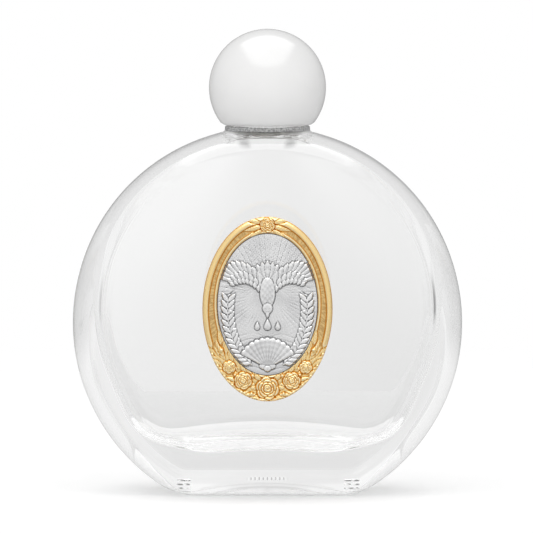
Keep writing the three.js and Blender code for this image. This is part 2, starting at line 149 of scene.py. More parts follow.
# %% Helper: shader maths as expressions
class Value:
    """A number that varies over a surface, held as the output socket of a node."""

    def __init__(self, shader, socket):
        self.shader, self.socket = shader, socket

    def math(self, operation, *others):
        return self.shader.node(
            "ShaderNodeMath", {"operation": operation}, *[self, *others])[0]

    def __add__(self, other):
        return self.math("ADD", other)

    def __sub__(self, other):
        return self.math("SUBTRACT", other)

    def __rsub__(self, other):
        return self.shader.node("ShaderNodeMath", {"operation": "SUBTRACT"}, other, self)[0]

    def __mul__(self, other):
        return self.math("MULTIPLY", other)

    def __truediv__(self, other):
        return self.math("DIVIDE", other)

    def __abs__(self):
        return self.math("ABSOLUTE")

    __radd__, __rmul__ = __add__, __mul__

    def between(self, low, high):
        """0 below low, 1 above high, and a soft step in the middle."""
        settings = {"interpolation_type": "SMOOTHSTEP"}
        return self.shader.node("ShaderNodeMapRange", settings, Value=self,
                                **{"From Min": low, "From Max": high})[0]

    def window(self, low, full, still, high):
        """1 from full to still, and softly down to 0 at low and at high."""
        return self.between(low, full) * self.between(high, still)

    def bell(self):
        """1 where the value is 0, falling off smoothly on both sides."""
        return (self * self * -1.0).math("EXPONENT")


class Shader:
    """The node tree of a material or a world, empty but for its output."""

    def __init__(self, owner):
        owner.use_nodes = True
        self.owner, self.tree = owner, owner.node_tree
        self.tree.nodes.clear()

    def node(self, kind, settings=None, *inputs, **named):
        made = self.tree.nodes.new(kind)
        for name, value in (settings or {}).items():
            setattr(made, name, value)
        for key, value in [*enumerate(inputs), *named.items()]:
            socket = made.inputs[key]
            if isinstance(value, Value):
                self.tree.links.new(value.socket, socket)
            else:
                socket.default_value = value
        outputs = enumerate(made.outputs)
        return {key: Value(self, socket) for i, socket in outputs for key in (i, socket.name)}

    def noise(self, place, scale, detail=2.0, roughness=0.5):
        return self.node("ShaderNodeTexNoise", None, Vector=place, Scale=scale,
                         Detail=detail, Roughness=roughness)[0]

    def blend(self, factor, first, second):
        """One colour where factor is 0 and the other where it is 1."""
        made = self.tree.nodes.new("ShaderNodeMix")
        made.data_type = "RGBA"
        for index, value in ((0, factor), (6, first), (7, second)):
            if isinstance(value, Value):
                self.tree.links.new(value.socket, made.inputs[index])
            elif index == 0:
                made.inputs[index].default_value = value
            else:
                made.inputs[index].default_value = (*value, 1)
        return Value(self, made.outputs[2])

    def bump(self, height, strength, distance, under=None):
        """A bump, laid over another one where that is given."""
        named = {"Normal": under} if under else {}
        return self.node("ShaderNodeBump", None, Height=height, Strength=strength,
                         Distance=distance, **named)[0]

    def layered(self, share, under, over):
        """One surface where share is 0 and the other where it is 1."""
        return self.node("ShaderNodeMixShader", None, share, under, over)[0]

    def surface(self, **sockets):
        """The Principled shader, with spaces for the underscores in its sockets' names."""
        named = {key.replace("_", " "): value for key, value in sockets.items()}
        return self.node("ShaderNodeBsdfPrincipled", None, **named)[0]

    def kept(self, name, output="Fac"):
        """What mark() kept on each point of the mesh."""
        return self.node("ShaderNodeAttribute", {"attribute_name": name})[output]

    def parts(self, place):
        split = self.node("ShaderNodeSeparateXYZ", None, place)
        return split["X"], split["Y"], split["Z"]

    def finish(self, surface):
        world = isinstance(self.owner, bpy.types.World)
        self.node("ShaderNodeOutputWorld" if world else "ShaderNodeOutputMaterial", None, surface)
        return self.owner


def new_material(name):
    """A material's empty tree, and the place of each point in the piece's own metres."""
    shader = Shader(bpy.data.materials.new(name))
    return shader, shader.node("ShaderNodeTexCoord")["Object"]


def faded(first, second, share):
    """From one number to another as share goes from 0 to 1."""
    return first + (second - first) * share


# %% [markdown]
# The camera stands where the photographer's did: it looks at the bottle's middle from a few
# degrees above, and from far away through a long lens, which keeps the flask's outline a true
# circle. The frame is square, so one width on the sensor sets the scale for both directions.
# Working the lens out from that width is easier to put right than moving the camera about.

# %% Camera
CAMERA_PITCH = math.radians(4)
CAMERA_DISTANCE = 2.5
FRAME_SPAN = 130.37 * MM
AIM = Vector((-0.24 * MM, 0, 55.13 * MM))

camera = bpy.data.objects.new("camera", bpy.data.cameras.new("camera"))
bpy.context.scene.collection.objects.link(camera)
camera.data.sensor_width = 36
camera.data.lens = camera.data.sensor_width * CAMERA_DISTANCE / FRAME_SPAN
camera.data.clip_start, camera.data.clip_end = 0.1, 20
back = Vector((0, -math.cos(CAMERA_PITCH), math.sin(CAMERA_PITCH)))
camera.location = AIM + back * CAMERA_DISTANCE
camera.rotation_euler = (math.pi / 2 - CAMERA_PITCH, 0, 0)
bpy.context.scene.camera = camera
print(f"lens {camera.data.lens:.0f} mm at {CAMERA_DISTANCE} m")

# %% [markdown]
# A flat-sided round bottle is a disc that stands on its edge, with rounded edges. Cut level, it
# gives a long rounded section. For each level and each direction, halving the distance between
# a point inside and a point outside finds the wall, whatever the shape is. The same search
# makes the outer wall and the hollow, so the glass has its true thickness, which is what
# draws the light and dark lines near the rim of the real bottle.

# %% Level sections of a rounded disc
GLASS_COLUMNS = 248
column_turn = np.arange(GLASS_COLUMNS) * TURN / GLASS_COLUMNS


def edge_room(inset, half_depth, width, depth):
    """Half of the thickness at a distance from an edge that is rounded to an ellipse."""
    over = 1 - np.clip(inset / width, 0, 1)
    return half_depth - depth + depth * np.sqrt(1 - over**2)


def directions(z):
    """Directions of the points of level rings. One column in eight follows the line where the
    flat face ends, so the columns are closer together at the narrow sides."""
    room = edge_room(z, HALF_DEPTH, FOOT_ROUND, FOOT_ROUND)
    over = np.sqrt(1 - ((room - HALF_DEPTH + EDGE_DEPTH) / EDGE_DEPTH) ** 2)
    face_radius = BODY_RADIUS - EDGE_WIDTH * (1 - over)
    face_end = np.sqrt(np.maximum(room**2, face_radius**2 - (z - body_centre) ** 2))
    squash = (room / face_end)[:, None]
    return np.arctan2(squash * np.sin(column_turn), np.cos(column_turn))


def filleted(a, b, blend):
    """The larger of two distances, with a fillet where they are about equal."""
    near = np.maximum(0, 1 - np.abs(a - b) / blend)
    return np.maximum(a, b) + blend * near**2 / 4


def disc_wall(z, angle, radius, half_depth, width, depth, narrow=1, thin=1, foot_room=None):
    """How far the wall of a standing disc is from the axis, at each level and direction."""
    near, far = np.zeros_like(angle), np.full_like(angle, 3 * BODY_RADIUS)
    for _ in range(42):
        reach = (near + far) / 2
        x, across = reach * np.cos(angle) / narrow, np.abs(reach * np.sin(angle) / thin)
        inset = radius - np.hypot(x, z - body_centre)
        room = edge_room(inset, half_depth, width, depth)
        if foot_room is not None:
            blend = np.clip(half_depth - foot_room, 0.001 * MM, CORNER_BLEND)
            room = -filleted(-room, -foot_room, blend)
        within = (inset >= 0) & (across <= room)
        near, far = np.where(within, reach, near), np.where(within, far, reach)
    return near


def rings(z, reach, angle):
    """Rows of points from their heights, distances from the axis and directions."""
    height = np.broadcast_to(z, angle.shape)
    return np.stack([reach * np.cos(angle), reach * np.sin(angle), height], axis=-1)


# %% [markdown]
# The foot is not quite flat. A shallow push-up in its middle leaves a bearing rim all round,
# and that rim is knurled with fine ridges, which keep hot glass from sticking to the belt
# of the oven. A grid can take them in without any new faces: in three of its rows, every other
# point is lifted by a tenth of a millimetre.

# %% Glass: foot and heel
PUSH_UP = 0.9 * MM
PUSH_UP_SHARE = 0.84
KNURL_DEPTH = 0.12 * MM
KNURL_FROM, KNURL_TO = 0.885, 0.955


def outer_wall(z, angle):
    foot_room = edge_room(z, HALF_DEPTH, FOOT_ROUND, FOOT_ROUND) + 0 * angle
    return disc_wall(z, angle, BODY_RADIUS, HALF_DEPTH, EDGE_WIDTH, EDGE_DEPTH,
                     foot_room=foot_room)


def foot_rings():
    level = np.zeros((1, 1))
    angle = directions(np.zeros(1))
    edge = outer_wall(level, angle) - HEEL_ROUND
    share = np.concatenate([
        np.linspace(0.04, PUSH_UP_SHARE, 14), [0.87, KNURL_FROM, 0.9, 0.92, 0.94, KNURL_TO, 0.975]])
    rise = PUSH_UP * (1 - (np.minimum(share, PUSH_UP_SHARE) / PUSH_UP_SHARE) ** 2)
    height = np.repeat(rise[:, None], GLASS_COLUMNS, axis=1)
    knurled = (share > KNURL_FROM + 1e-6) & (share < KNURL_TO - 1e-6)
    height[np.ix_(knurled, np.arange(GLASS_COLUMNS) % 2 == 1)] = KNURL_DEPTH
    rows = share[:, None] * edge
    return rings(height, rows, np.repeat(angle, len(share), axis=0)), np.flatnonzero(knurled)


def heel_rings(count=9):
    bend = np.linspace(0, math.pi / 2, count)[:, None]
    z = HEEL_ROUND * (1 - np.cos(bend))
    angle = directions(z[:, 0])
    return rings(z, outer_wall(z, angle) - HEEL_ROUND * (1 - np.sin(bend)), angle)


# %% [markdown]
# The body runs into the neck ring with a fillet. Above the ring stands the finish, which is the
# glassmaker's word for the screw mouth. Its thread is one raised ridge that climbs 1.6 turns and
# dies into the wall at both ends. On a cylinder the ridge is only a change of radius, so it is
# made in the same grid, and the mouth stays one clean skin.

# %% Glass: body, neck ring and screw mouth
NECK_RING_RADIUS = 10.4 * MM
NECK_RING_EDGE = 0.4 * MM
NECK_FILLET = 3.2 * MM
ring_top = body_top + 0.45 * MM
RING_FOOT = 87.9 * MM
FINISH_RADIUS = 7.95 * MM
BORE_RADIUS = 4.8 * MM
LIP_ROUND = 0.6 * MM
THREAD_PITCH = 3.175 * MM
THREAD_HEIGHT = 0.9 * MM
THREAD_ROOT, THREAD_CREST = 1.9 * MM, 0.9 * MM
THREAD_TURNS = 1.6
THREAD_START = 2.2 * MM
THREAD_FADE = 3 / 48


def body_rings():
    neck_foot = body_top - NECK_RING_RADIUS**2 / (2 * BODY_RADIUS)
    lowest = math.asin((HEEL_ROUND - body_centre) / BODY_RADIUS)
    highest = math.asin((neck_foot - 1.2 * MM - body_centre) / BODY_RADIUS)
    turn = np.linspace(lowest, highest, 112)[1:]
    z = np.concatenate([
        body_centre + BODY_RADIUS * np.sin(turn),
        np.linspace(neck_foot - 1.1 * MM, ring_top - NECK_RING_EDGE, 22)])[:, None]
    angle = directions(z[:, 0])
    return rings(z, filleted(outer_wall(z, angle), NECK_RING_RADIUS, NECK_FILLET), angle)


def arc(r, z, radius, start, end, count):
    """Points of a round stretch of a profile, between two angles in degrees."""
    bend = np.radians(np.linspace(start, end, count))
    return np.stack([r + radius * np.cos(bend), z + radius * np.sin(bend)], axis=-1)


def turned(profile):
    """Rings from a profile of distances from the axis and heights."""
    r, z = profile[:, :1], profile[:, 1:]
    angle = directions(z[:, 0])
    return rings(z, r + 0 * angle, angle)


def thread_height(z, angle):
    """How far the thread stands out from the mouth, at each level and direction."""
    height = np.zeros(np.broadcast(z, angle).shape)
    share = np.mod(angle, TURN) / TURN
    for lap in range(2):
        along = share + lap
        off = np.abs(z - ring_top - THREAD_START - along * THREAD_PITCH)
        flank = np.clip((THREAD_ROOT / 2 - off) / ((THREAD_ROOT - THREAD_CREST) / 2), 0, 1)
        fade = smoothstep(0, THREAD_FADE, along) * smoothstep(0, THREAD_FADE, THREAD_TURNS - along)
        height = np.maximum(height, THREAD_HEIGHT * flank * fade)
    return height


def mouth_rings():
    shelf = turned(np.concatenate([
        arc(NECK_RING_RADIUS - NECK_RING_EDGE, ring_top - NECK_RING_EDGE, NECK_RING_EDGE, 10, 90, 6),
        [[0.94 * NECK_RING_RADIUS, ring_top], [FINISH_RADIUS + 0.2 * MM, ring_top]]]))
    z = np.linspace(ring_top + 0.1 * MM, LIP_TOP - LIP_ROUND, 56)[:, None]
    angle = directions(z[:, 0])
    wall = rings(z, FINISH_RADIUS + thread_height(z, angle), angle)
    lip = turned(np.concatenate([
        arc(FINISH_RADIUS - LIP_ROUND, LIP_TOP - LIP_ROUND, LIP_ROUND, 10, 90, 7),
        arc(BORE_RADIUS + LIP_ROUND, LIP_TOP - LIP_ROUND, LIP_ROUND, 90, 180, 8)]))
    return np.concatenate([shelf, wall, lip])


# %% [markdown]
# The hollow follows the outer shape, but its circle is smaller and sits higher. So the glass is
# thick at the sides, thin at the shoulder, and thickest in the slab under the floor, which is
# the bottle's heel. The floor's corners are drawn in with wide fillets, and the floor arches up
# a little across the middle, as blown glass does where it first touched the mould. A solid
# block with a clear material would have been quicker, but the real bottle's light and dark
# lines are drawn by these two skins together.

# %% Glass: the hollow
RIM_WALL = 5.75 * MM
FACE_WALL = 2.6 * MM
FLOOR_THICKNESS = 8.9 * MM
FLOOR_FILLET = 8 * MM
FLOOR_ARCH = 1.9 * MM
BORE_FLARE = 3 * MM
HOLLOW_EDGE_WIDTH = 3.3 * MM
HOLLOW_EDGE_DEPTH = 4 * MM
HOLLOW_LIFT = 3.4 * MM
FLOOR_CORNER = 14 * MM


def hollow_rings():
    radius, half_depth = BODY_RADIUS - RIM_WALL, HALF_DEPTH - FACE_WALL
    centre = body_centre + HOLLOW_LIFT
    crown = centre + radius
    fillet_top = FLOOR_THICKNESS + FLOOR_FILLET
    half_width = math.sqrt(radius**2 - (fillet_top - centre) ** 2)
    top, bottom = math.asin(1 - 1.8 * MM / radius), math.asin((fillet_top - centre) / radius)
    z = np.concatenate([
        np.linspace(LIP_TOP - 2 * MM, body_top, 6),
        np.linspace(body_top, crown - 0.9 * MM, 16)[1:],
        centre + radius * np.sin(np.linspace(top, bottom, 90))])[:, None]
    angle = directions(z[:, 0])
    edge = HOLLOW_EDGE_WIDTH, HOLLOW_EDGE_DEPTH
    wall = disc_wall(z - HOLLOW_LIFT, angle, radius, half_depth, *edge)
    sides = rings(z, filleted(wall, BORE_RADIUS, BORE_FLARE), angle)

    bend = np.linspace(0, math.pi / 2, 30)[1:, None]
    z = fillet_top - FLOOR_FILLET * np.sin(bend)
    angle = directions(z[:, 0])
    drawn_in = 1 - np.cos(bend)
    wall = disc_wall(z - HOLLOW_LIFT, angle, radius, half_depth, *edge,
                     1 - drawn_in * FLOOR_CORNER / half_width,
                     1 - drawn_in * FLOOR_FILLET / half_depth)
    fillet = rings(z, wall, angle)
    share = np.linspace(1, 0.05, 12)[1:, None]
    floor = fillet[-1:] * np.append(share[:, :, None] * [1, 1, 0], np.ones((11, 1, 0)), axis=-1)
    floor[..., 2] = FLOOR_THICKNESS
    grid = np.concatenate([sides, fillet, floor])
    low = 1 - smoothstep(fillet_top, fillet_top + 1.5 * FLOOR_FILLET, grid[..., 2])
    grid[..., 2] += FLOOR_ARCH * low * (1 - 2 * (grid[..., 0] / half_width) ** 2)
    return grid


# %% Glass: one skin
foot, knurled_rows = foot_rings()
glass_grid = np.concatenate([foot, heel_rings(), body_rings(), mouth_rings(), hollow_rings()])
flask = skin("flask", glass_grid, capped=(0, len(glass_grid) - 1), flat_rows=knurled_rows)
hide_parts("glass_bottle")
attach(flask, "bottle")
print("flask:", len(flask.data.polygons), "faces")

# %% [markdown]
# The cap is a ball of glossy white plastic in two halves. Turned shapes like this are a profile
# swung round the axis. Each half is a closed shell with its real wall, and the joint is left as
# a bare hairline.

# %% Cap: ball in two halves
dome_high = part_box("cap_dome")[1]
cap_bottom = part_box("cap_base")[0].z
BALL_RADIUS = dome_high.x
BALL_WALL = 1.6 * MM
LAP_HEIGHT = 1 * MM
SEAM_FIT = 0.1 * MM
SEAM_GAP = 0.001 * MM
# An extra row this many degrees from the joint keeps the shading of the ball unbroken there.
SEAM_ROW = 0.06
COLLAR_BORE, COLLAR_RADIUS = 9.95 * MM, 10.95 * MM
CAP_RIM_RADIUS = 11.05 * MM
CAP_RIM_ROUND = 0.6 * MM
ball_centre = dome_high.z - BALL_RADIUS
collar_top = cap_bottom + 7.1 * MM
lap_radius = BALL_RADIUS - BALL_WALL / 2
inner_radius = BALL_RADIUS - BALL_WALL


def swung(name, profile, columns=200):
    """A closed profile, given anticlockwise, swung round the upright axis."""
    angle = np.arange(columns) * TURN / columns
    r, z = profile[:, :1], profile[:, 1:]
    grid = np.stack([r * np.cos(angle), r * np.sin(angle), z + 0 * angle], axis=-1)
    step = np.abs(np.roll(profile, -1, axis=0) - profile)
    return skin(name, grid, closed=True, flat_rows=np.flatnonzero(step.min(axis=1) < 1e-8))


def dome_profile():
    inside = math.degrees(math.asin((LAP_HEIGHT + SEAM_FIT) / inner_radius))
    return np.concatenate([
        arc(0, ball_centre, inner_radius, 89.9, inside, 30),
        [[lap_radius + SEAM_FIT, ball_centre + LAP_HEIGHT + SEAM_FIT],
         [lap_radius + SEAM_FIT, ball_centre]],
        [[BALL_RADIUS, ball_centre]],
        arc(0, ball_centre, BALL_RADIUS, SEAM_ROW, 89.9, 64)])


def base_profile():
    drop = ball_centre - cap_bottom
    low = -math.degrees(math.asin(drop / BALL_RADIUS))
    meet = math.degrees(math.acos(COLLAR_RADIUS / inner_radius))
    seam = ball_centre - SEAM_GAP
    edge = math.degrees(SEAM_GAP / BALL_RADIUS)
    return np.concatenate([
        [[COLLAR_BORE, cap_bottom], [CAP_RIM_RADIUS - CAP_RIM_ROUND, cap_bottom]],
        arc(CAP_RIM_RADIUS - CAP_RIM_ROUND, cap_bottom + CAP_RIM_ROUND, CAP_RIM_ROUND, -80, -42, 6),
        arc(0, ball_centre, BALL_RADIUS, low + 2.6, -edge - SEAM_ROW, 48),
        arc(0, ball_centre, BALL_RADIUS, -edge, -edge, 1),
        [[lap_radius, seam], [lap_radius, ball_centre + LAP_HEIGHT],
         [inner_radius - 0.1 * MM, ball_centre + LAP_HEIGHT]],
        arc(0, ball_centre, inner_radius, 0, -meet, 24),
        [[COLLAR_RADIUS, collar_top], [COLLAR_BORE, collar_top]]])


ball_dome = swung("ball_dome", dome_profile())
ball_base = swung("ball_base", base_profile())
for piece, node in ((ball_dome, "cap_dome"), (ball_base, "cap_base")):
    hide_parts(node)
    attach(piece, "cap")
print(f"cap: ball {2000 * BALL_RADIUS:.1f} mm across, {1000 * (dome_high.z - cap_bottom):.1f} mm tall")

# %% [markdown]
# The plaque is worked face on, as a jeweller would: X to the right, Y up and Z towards the
# viewer, in millimetres from the middle of the frame. One helper stands it up against the
# front of the glass at the end.

# %% Plaque: place and face-on sheets
rim_low, rim_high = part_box("plaque_frame")
plaque_height = (rim_low.z + rim_high.z) / 2
RIM_WIDE, RIM_HIGH = rim_high.x / MM, (rim_high.z - rim_low.z) / 2 / MM
RIM_RISE = (rim_high.y - rim_low.y) / MM
WINDOW_WIDE, WINDOW_HIGH, WINDOW_LIFT = 12.25, 17.35, 1.15
REBATE_WIDTH, REBATE_DEPTH = 0.6, 0.75
MEDALLION_FIT = 0.2


def stood_up(x, y, z):
    """Face-on millimetres to metres against the front of the bottle."""
    return np.stack([x * MM, rim_high.y - z * MM, plaque_height + y * MM], axis=-1)


def blurred(height, times, around=True):
    """A grid of heights with each point drawn towards its neighbours, several times over."""
    for _ in range(times):
        padded = np.pad(height, ((1, 1), (0, 0)), mode="edge")
        height = (padded[:-2] + 2 * height + padded[2:]) / 4
        side = "wrap" if around else "edge"
        padded = np.pad(height, ((0, 0), (1, 1)), mode=side)
        height = (padded[:, :-2] + 2 * height + padded[:, 2:]) / 4
    return height


# %% [markdown]
# Reliefs are built the way a die is cut: one motif is laid over the last, each with a domed top
# and a fine groove cut round it. A motif is a formula that is 1 in its middle, 0 on its outline
# and negative outside. Laying it down raises the heights inside and sinks them just outside.

# %% Relief: motifs and how they are laid
def lay(height, shape, seat, rise, groove=0.1, soft=0.22, dome=0.5):
    """Lays a motif over a relief: domed from its seat up, with a groove round its outline."""
    top = seat + rise * np.clip(shape, 0, 1) ** dome
    moat = groove * np.exp(-((shape / soft) ** 2))
    return np.where(shape > 0, top - 0.4 * moat, height - moat)


def turned_about(x, y, place, degrees):
    """Coordinates along and across a motif that lies at a place and points at an angle."""
    bend = math.radians(degrees)
    dx, dy = x - place[0], y - place[1]
    return dx * math.cos(bend) + dy * math.sin(bend), dy * math.cos(bend) - dx * math.sin(bend)


def oval(x, y, place, long, wide, degrees=0):
    along, across = turned_about(x, y, place, degrees)
    return 1 - (along / long) ** 2 - (across / wide) ** 2


def blade(x, y, root, length, width, degrees, fullest=0.45, bow=0.0):
    """A leaf or feather from its root to its tip, widest at a share of its length."""
    along, across = turned_about(x, y, root, degrees)
    t = np.clip(along / length, 1e-4, 1 - 1e-4)
    across = across - bow * length * t * (1 - t) * 4
    power = math.log(0.5) / math.log(fullest)
    half = width / 2 * np.sin(math.pi * t**power) ** 0.62
    edge = 1 - np.abs(across) / np.maximum(half, 1e-4)
    outside = np.maximum(-along, along - length) / (width / 2)
    return np.where((along > 0) & (along < length), np.maximum(edge, -4), -outside - 0.3), t, across


def rose(x, y, place, radius, spin=0.0):
    """Heights of an open rose, 0 to 1, and the formula of its outline."""
    dx, dy = x - place[0], y - place[1]
    r, angle = np.hypot(dx, dy) / radius, np.arctan2(dy, dx) + spin
    bloom = np.zeros_like(r)
    outline = np.full_like(r, -1.0)
    for reach, petals, level, turn in (
            (1.0, 6, 0.46, 0.0), (0.78, 5, 0.6, 0.63), (0.56, 5, 0.72, 0.1), (0.36, 4, 0.84, 0.5)):
        lobe = np.abs(np.cos(petals * (angle + turn) / 2))
        edge = reach * (0.86 + 0.14 * lobe**0.7)
        cup = 0.2 * smoothstep(0.45 * edge, 0.93 * edge, r)
        joint = 0.22 * np.exp(-((lobe / 0.2) ** 2)) * smoothstep(0.3 * reach, 0.8 * reach, r)
        petal = (level + cup - joint) * smoothstep(edge, edge - 0.09, r)
        moat = 0.16 * np.exp(-(((r - edge) / 0.05) ** 2))
        bloom = np.where(r < edge, np.maximum(petal, 0.6 * bloom), bloom - moat * (bloom > 0))
        outline = np.maximum(outline, (edge - r) / 0.5)
    heart = 0.84 + 0.14 * np.cos(angle - 26 * r)
    return np.where(r < 0.2, heart, bloom), outline


# %% [markdown]
# The gilt frame is a moulding: a smooth outer bevel, a brushed band, and a fine lip round the
# window. Its height depends only on how far a point is from the two edges. Below lies a
# garland of five roses that get smaller to the sides on a bed of leaves, and above sits a
# small flower between two leaf sprays.

# %% Plaque: moulding of the frame
FRAME_COLUMNS, FRAME_ROWS = 1080, 58
# Sections from an edge inwards: distance in millimetres, and share of the frame's height.
RIM_SECTION = (
    (0, 0.4), (0.1, 0.6), (0.3, 0.8), (0.7, 0.95), (1.1, 0.98), (1.35, 0.9), (1.55, 0.66))
LIP_SECTION = ((0, 0.36), (0.1, 0.66), (0.3, 0.82), (0.55, 0.84), (0.75, 0.72), (0.88, 0.5))
BAND_HEIGHT = 0.58
GARLAND_TOP = -9.5


def in_garland(y):
    return smoothstep(GARLAND_TOP + 1.2, GARLAND_TOP - 1.8, y)


def moulding(from_rim, from_window, narrow):
    """Height of the plain frame from the distances to its two edges."""
    bevel = np.interp(from_rim * narrow, *zip(*RIM_SECTION), right=BAND_HEIGHT)
    lip = np.interp(from_window * narrow**0.5, *zip(*LIP_SECTION), right=BAND_HEIGHT)
    bevelled = from_rim * narrow < RIM_SECTION[-1][0]
    return RIM_RISE * np.maximum(np.where(bevelled, bevel, BAND_HEIGHT), lip)


def band_middle(across, side):
    """Height of the middle of the frame's band, below (side -1) or above (side 1)."""
    rim = side * RIM_HIGH * math.sqrt(1 - (across / RIM_WIDE) ** 2)
    window = WINDOW_LIFT + side * WINDOW_HIGH * math.sqrt(1 - (across / WINDOW_WIDE) ** 2)
    return (rim + window) / 2


# %% Plaque: roses, leaves and the top flower
# Each rose: distance to the side, radius.
ROSES = ((0, 2.95), (5.9, 2.25), (9.3, 1.65))
TOP_FLOWER = 1.9
# Each leaf: distance to the side, shift up, length, width, angle, and below (-1) or above (1).
LEAVES = (
    (3.3, 1.9, 2.5, 1.1, 30, -1), (2.9, -2.0, 2.4, 1.1, 2, -1), (7.4, 1.4, 2.3, 1.1, 48, -1),
    (7.7, -1.5, 2.3, 1.1, 22, -1), (10.6, 0.5, 3.4, 1.35, 62, -1), (11.3, 1.9, 3.6, 1.2, 80, -1),
    (1.2, -0.2, 4.6, 1.5, -14, 1), (1.4, 0.6, 3.8, 1.3, 12, 1), (1.1, -1.0, 3.6, 1.1, -30, 1),
)
# Each bud: distance to the side, shift up, radius.
BUDS = ((11.2, 0.9, 0.5), (3.9, -2.1, 0.45), (7.9, -0.2, 0.4), (3.6, 2.4, 0.4))
BED_TURNS = np.arange(57, 3, -4.6)


def bed_leaves():
    """Root, length, width and heading of the small leaves behind the roses, on the right."""
    for step, turn in enumerate(BED_TURNS):
        bend = math.radians(turn)
        wide, high = (RIM_WIDE + WINDOW_WIDE) / 2, (RIM_HIGH + WINDOW_HIGH) / 2
        x, y = wide * math.sin(bend), WINDOW_LIFT / 2 - high * math.cos(bend)
        heading = math.degrees(math.atan2(high * math.sin(bend), wide * math.cos(bend)))
        reach = 0.9 + 0.9 * math.cos(bend) ** 2
        for lane in (-1, 0, 1):
            aside = math.radians(heading + 90)
            root = (x + lane * reach * math.cos(aside), y + lane * reach * math.sin(aside))
            lean = lane * 34 + 9 * (-1) ** step
            yield root, 2.7, 1.25, heading + lean


def ornament(x, y, plain):
    """The frame's heights with its garland and flower laid on, and where the ornament is."""
    height, dressed = plain.copy(), np.zeros_like(plain)
    seat = 0.5 * RIM_RISE
    leaves = [(root, *size, 0.34) for root, *size in bed_leaves()]
    for across, shift, length, width, angle, side in LEAVES:
        leaves.append(((across, band_middle(across, side) + shift), length, width, angle, 0.5))
    for root, length, width, angle, rise in leaves:
        for hand in (-1, 1):
            place = (hand * root[0], root[1])
            shape, t, off = blade(x, y, place, length, width, angle if hand > 0 else 180 - angle)
            vein = 0.13 * np.exp(-((off / 0.09) ** 2))
            vein = vein + 0.05 * np.cos(9 * (t * length - 1.6 * np.abs(off)))
            leaf = np.maximum(lay(height, shape, seat, rise, 0.12), 0)
            height = np.where(shape > 0, np.maximum(leaf - vein, 0.75 * height), leaf)
            dressed = np.maximum(dressed, shape > 0)
    for across, shift, radius in BUDS:
        for hand in (-1, 1):
            place = (hand * across, band_middle(min(across, 12), -1) + shift)
            shape = oval(x, y, place, radius, radius)
            height = lay(height, shape, seat + 0.25, 0.55, 0.1)
            dressed = np.maximum(dressed, shape > 0)
    blooms = [((hand * across, band_middle(across, -1)), radius, 0.31 * hand + across, 0.16)
              for across, radius in ROSES[::-1] for hand in ((-1, 1) if across else (1,))]
    blooms.append(((0, band_middle(0, 1)), TOP_FLOWER, 0.31, 0.2))
    for place, radius, spin, soft in blooms:
        bloom, shape = rose(x, y, place, radius, spin)
        top = seat + (RIM_RISE - seat - 0.02) * np.clip(bloom, 0, 1)
        moat = 0.18 * np.exp(-((shape / soft) ** 2))
        height = np.where(shape > 0, top, height - moat)
        dressed = np.maximum(dressed, shape > 0)
    return height, dressed


# %% [markdown]
# The frame is one closed ring: rows run from the rim over the top to the window, and four more
# rows close it behind with the rebate that holds the medallion. Three things are kept on its
# points for the gilding: how deep each lies below its surroundings, how brushed it is, and
# a place along the oval for the brush strokes. The first comes from blurring the heights.

# %% Plaque: the frame as one closed ring
RECESS_REACH, RECESS_DEPTH = 14, 0.14


def frame_piece():
    angle = np.arange(FRAME_COLUMNS) * TURN / FRAME_COLUMNS
    share = np.linspace(0, 1, FRAME_ROWS)[:, None]
    rim = np.stack([RIM_WIDE * np.cos(angle), RIM_HIGH * np.sin(angle)])
    window = np.stack([WINDOW_WIDE * np.cos(angle), WINDOW_HIGH * np.sin(angle) + WINDOW_LIFT])
    band = np.hypot(*(rim - window))
    x, y = (rim[:, None] * (1 - share) + window[:, None] * share)
    garland = in_garland(y)
    plain = moulding(share * band, (1 - share) * band, 1 + 1.2 * garland)
    height, dressed = ornament(x, y, blurred(plain, 1))
    height = np.clip(blurred(height, 1), 0.3 * RIM_RISE, RIM_RISE)
    recess = np.clip((blurred(height, RECESS_REACH) - height) / RECESS_DEPTH, -1, 1)

    seat = window + (rim - window) / band * REBATE_WIDTH
    edges = [(window, REBATE_DEPTH), (seat, REBATE_DEPTH), (seat, 0), (rim, 0)]
    walls = np.stack([stood_up(*edge, np.full(FRAME_COLUMNS, level)) for edge, level in edges])
    grid = np.concatenate([stood_up(x, y, height), walls])[:, ::-1]
    piece = skin("gilt_frame", grid, closed=True)
    pad = np.zeros((len(walls), FRAME_COLUMNS))
    mark(piece, "recess", np.concatenate([recess, pad])[:, ::-1].ravel())
    brushed = smoothstep(1.4, 1.7, share * band) * smoothstep(0.75, 0.95, (1 - share) * band)
    brushed = blurred(brushed * (1 - dressed) * (1 - garland), 2)
    mark(piece, "brushed", np.concatenate([brushed, pad])[:, ::-1].ravel())
    streaks = np.stack([np.cos(angle) + 0 * x, np.sin(angle) + 0 * x, 0.02 * share * band], axis=-1)
    streaks = np.concatenate([streaks, np.zeros((len(walls), FRAME_COLUMNS, 3))])[:, ::-1]
    mark(piece, "streaks", streaks.reshape(-1, 3), "FLOAT_VECTOR")
    return piece


gilt_frame = frame_piece()
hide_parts("plaque_frame")
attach(gilt_frame, "bottle")
print("frame:", len(gilt_frame.data.polygons), "faces")

# %% [markdown]
# The medallion in the window is struck silver with a dark patina left in its hollows. Its
# design is a traditional one for a holy water flask: a dove that comes down in rays of light,
# three drops, a ribbed shell, and an olive branch on each side. The ground is stippled.

# %% Medallion: feathers
SHAFT_WIDTH = 0.1
FEATHER_RISE = 0.2


def feather(height, x, y, root, length, width, angle, seat, bow=0.0):
    shape, t, off = blade(x, y, root, length, width, angle, 0.62, bow)
    barbs = 0.025 * np.cos(13 * (t * length - 1.1 * np.abs(off)))
    shaft = 0.07 * np.exp(-((off / SHAFT_WIDTH) ** 2))
    laid = lay(height, shape, seat, FEATHER_RISE, 0.16, 0.3)
    return np.where(shape > 0.05, laid + shaft + barbs, laid)


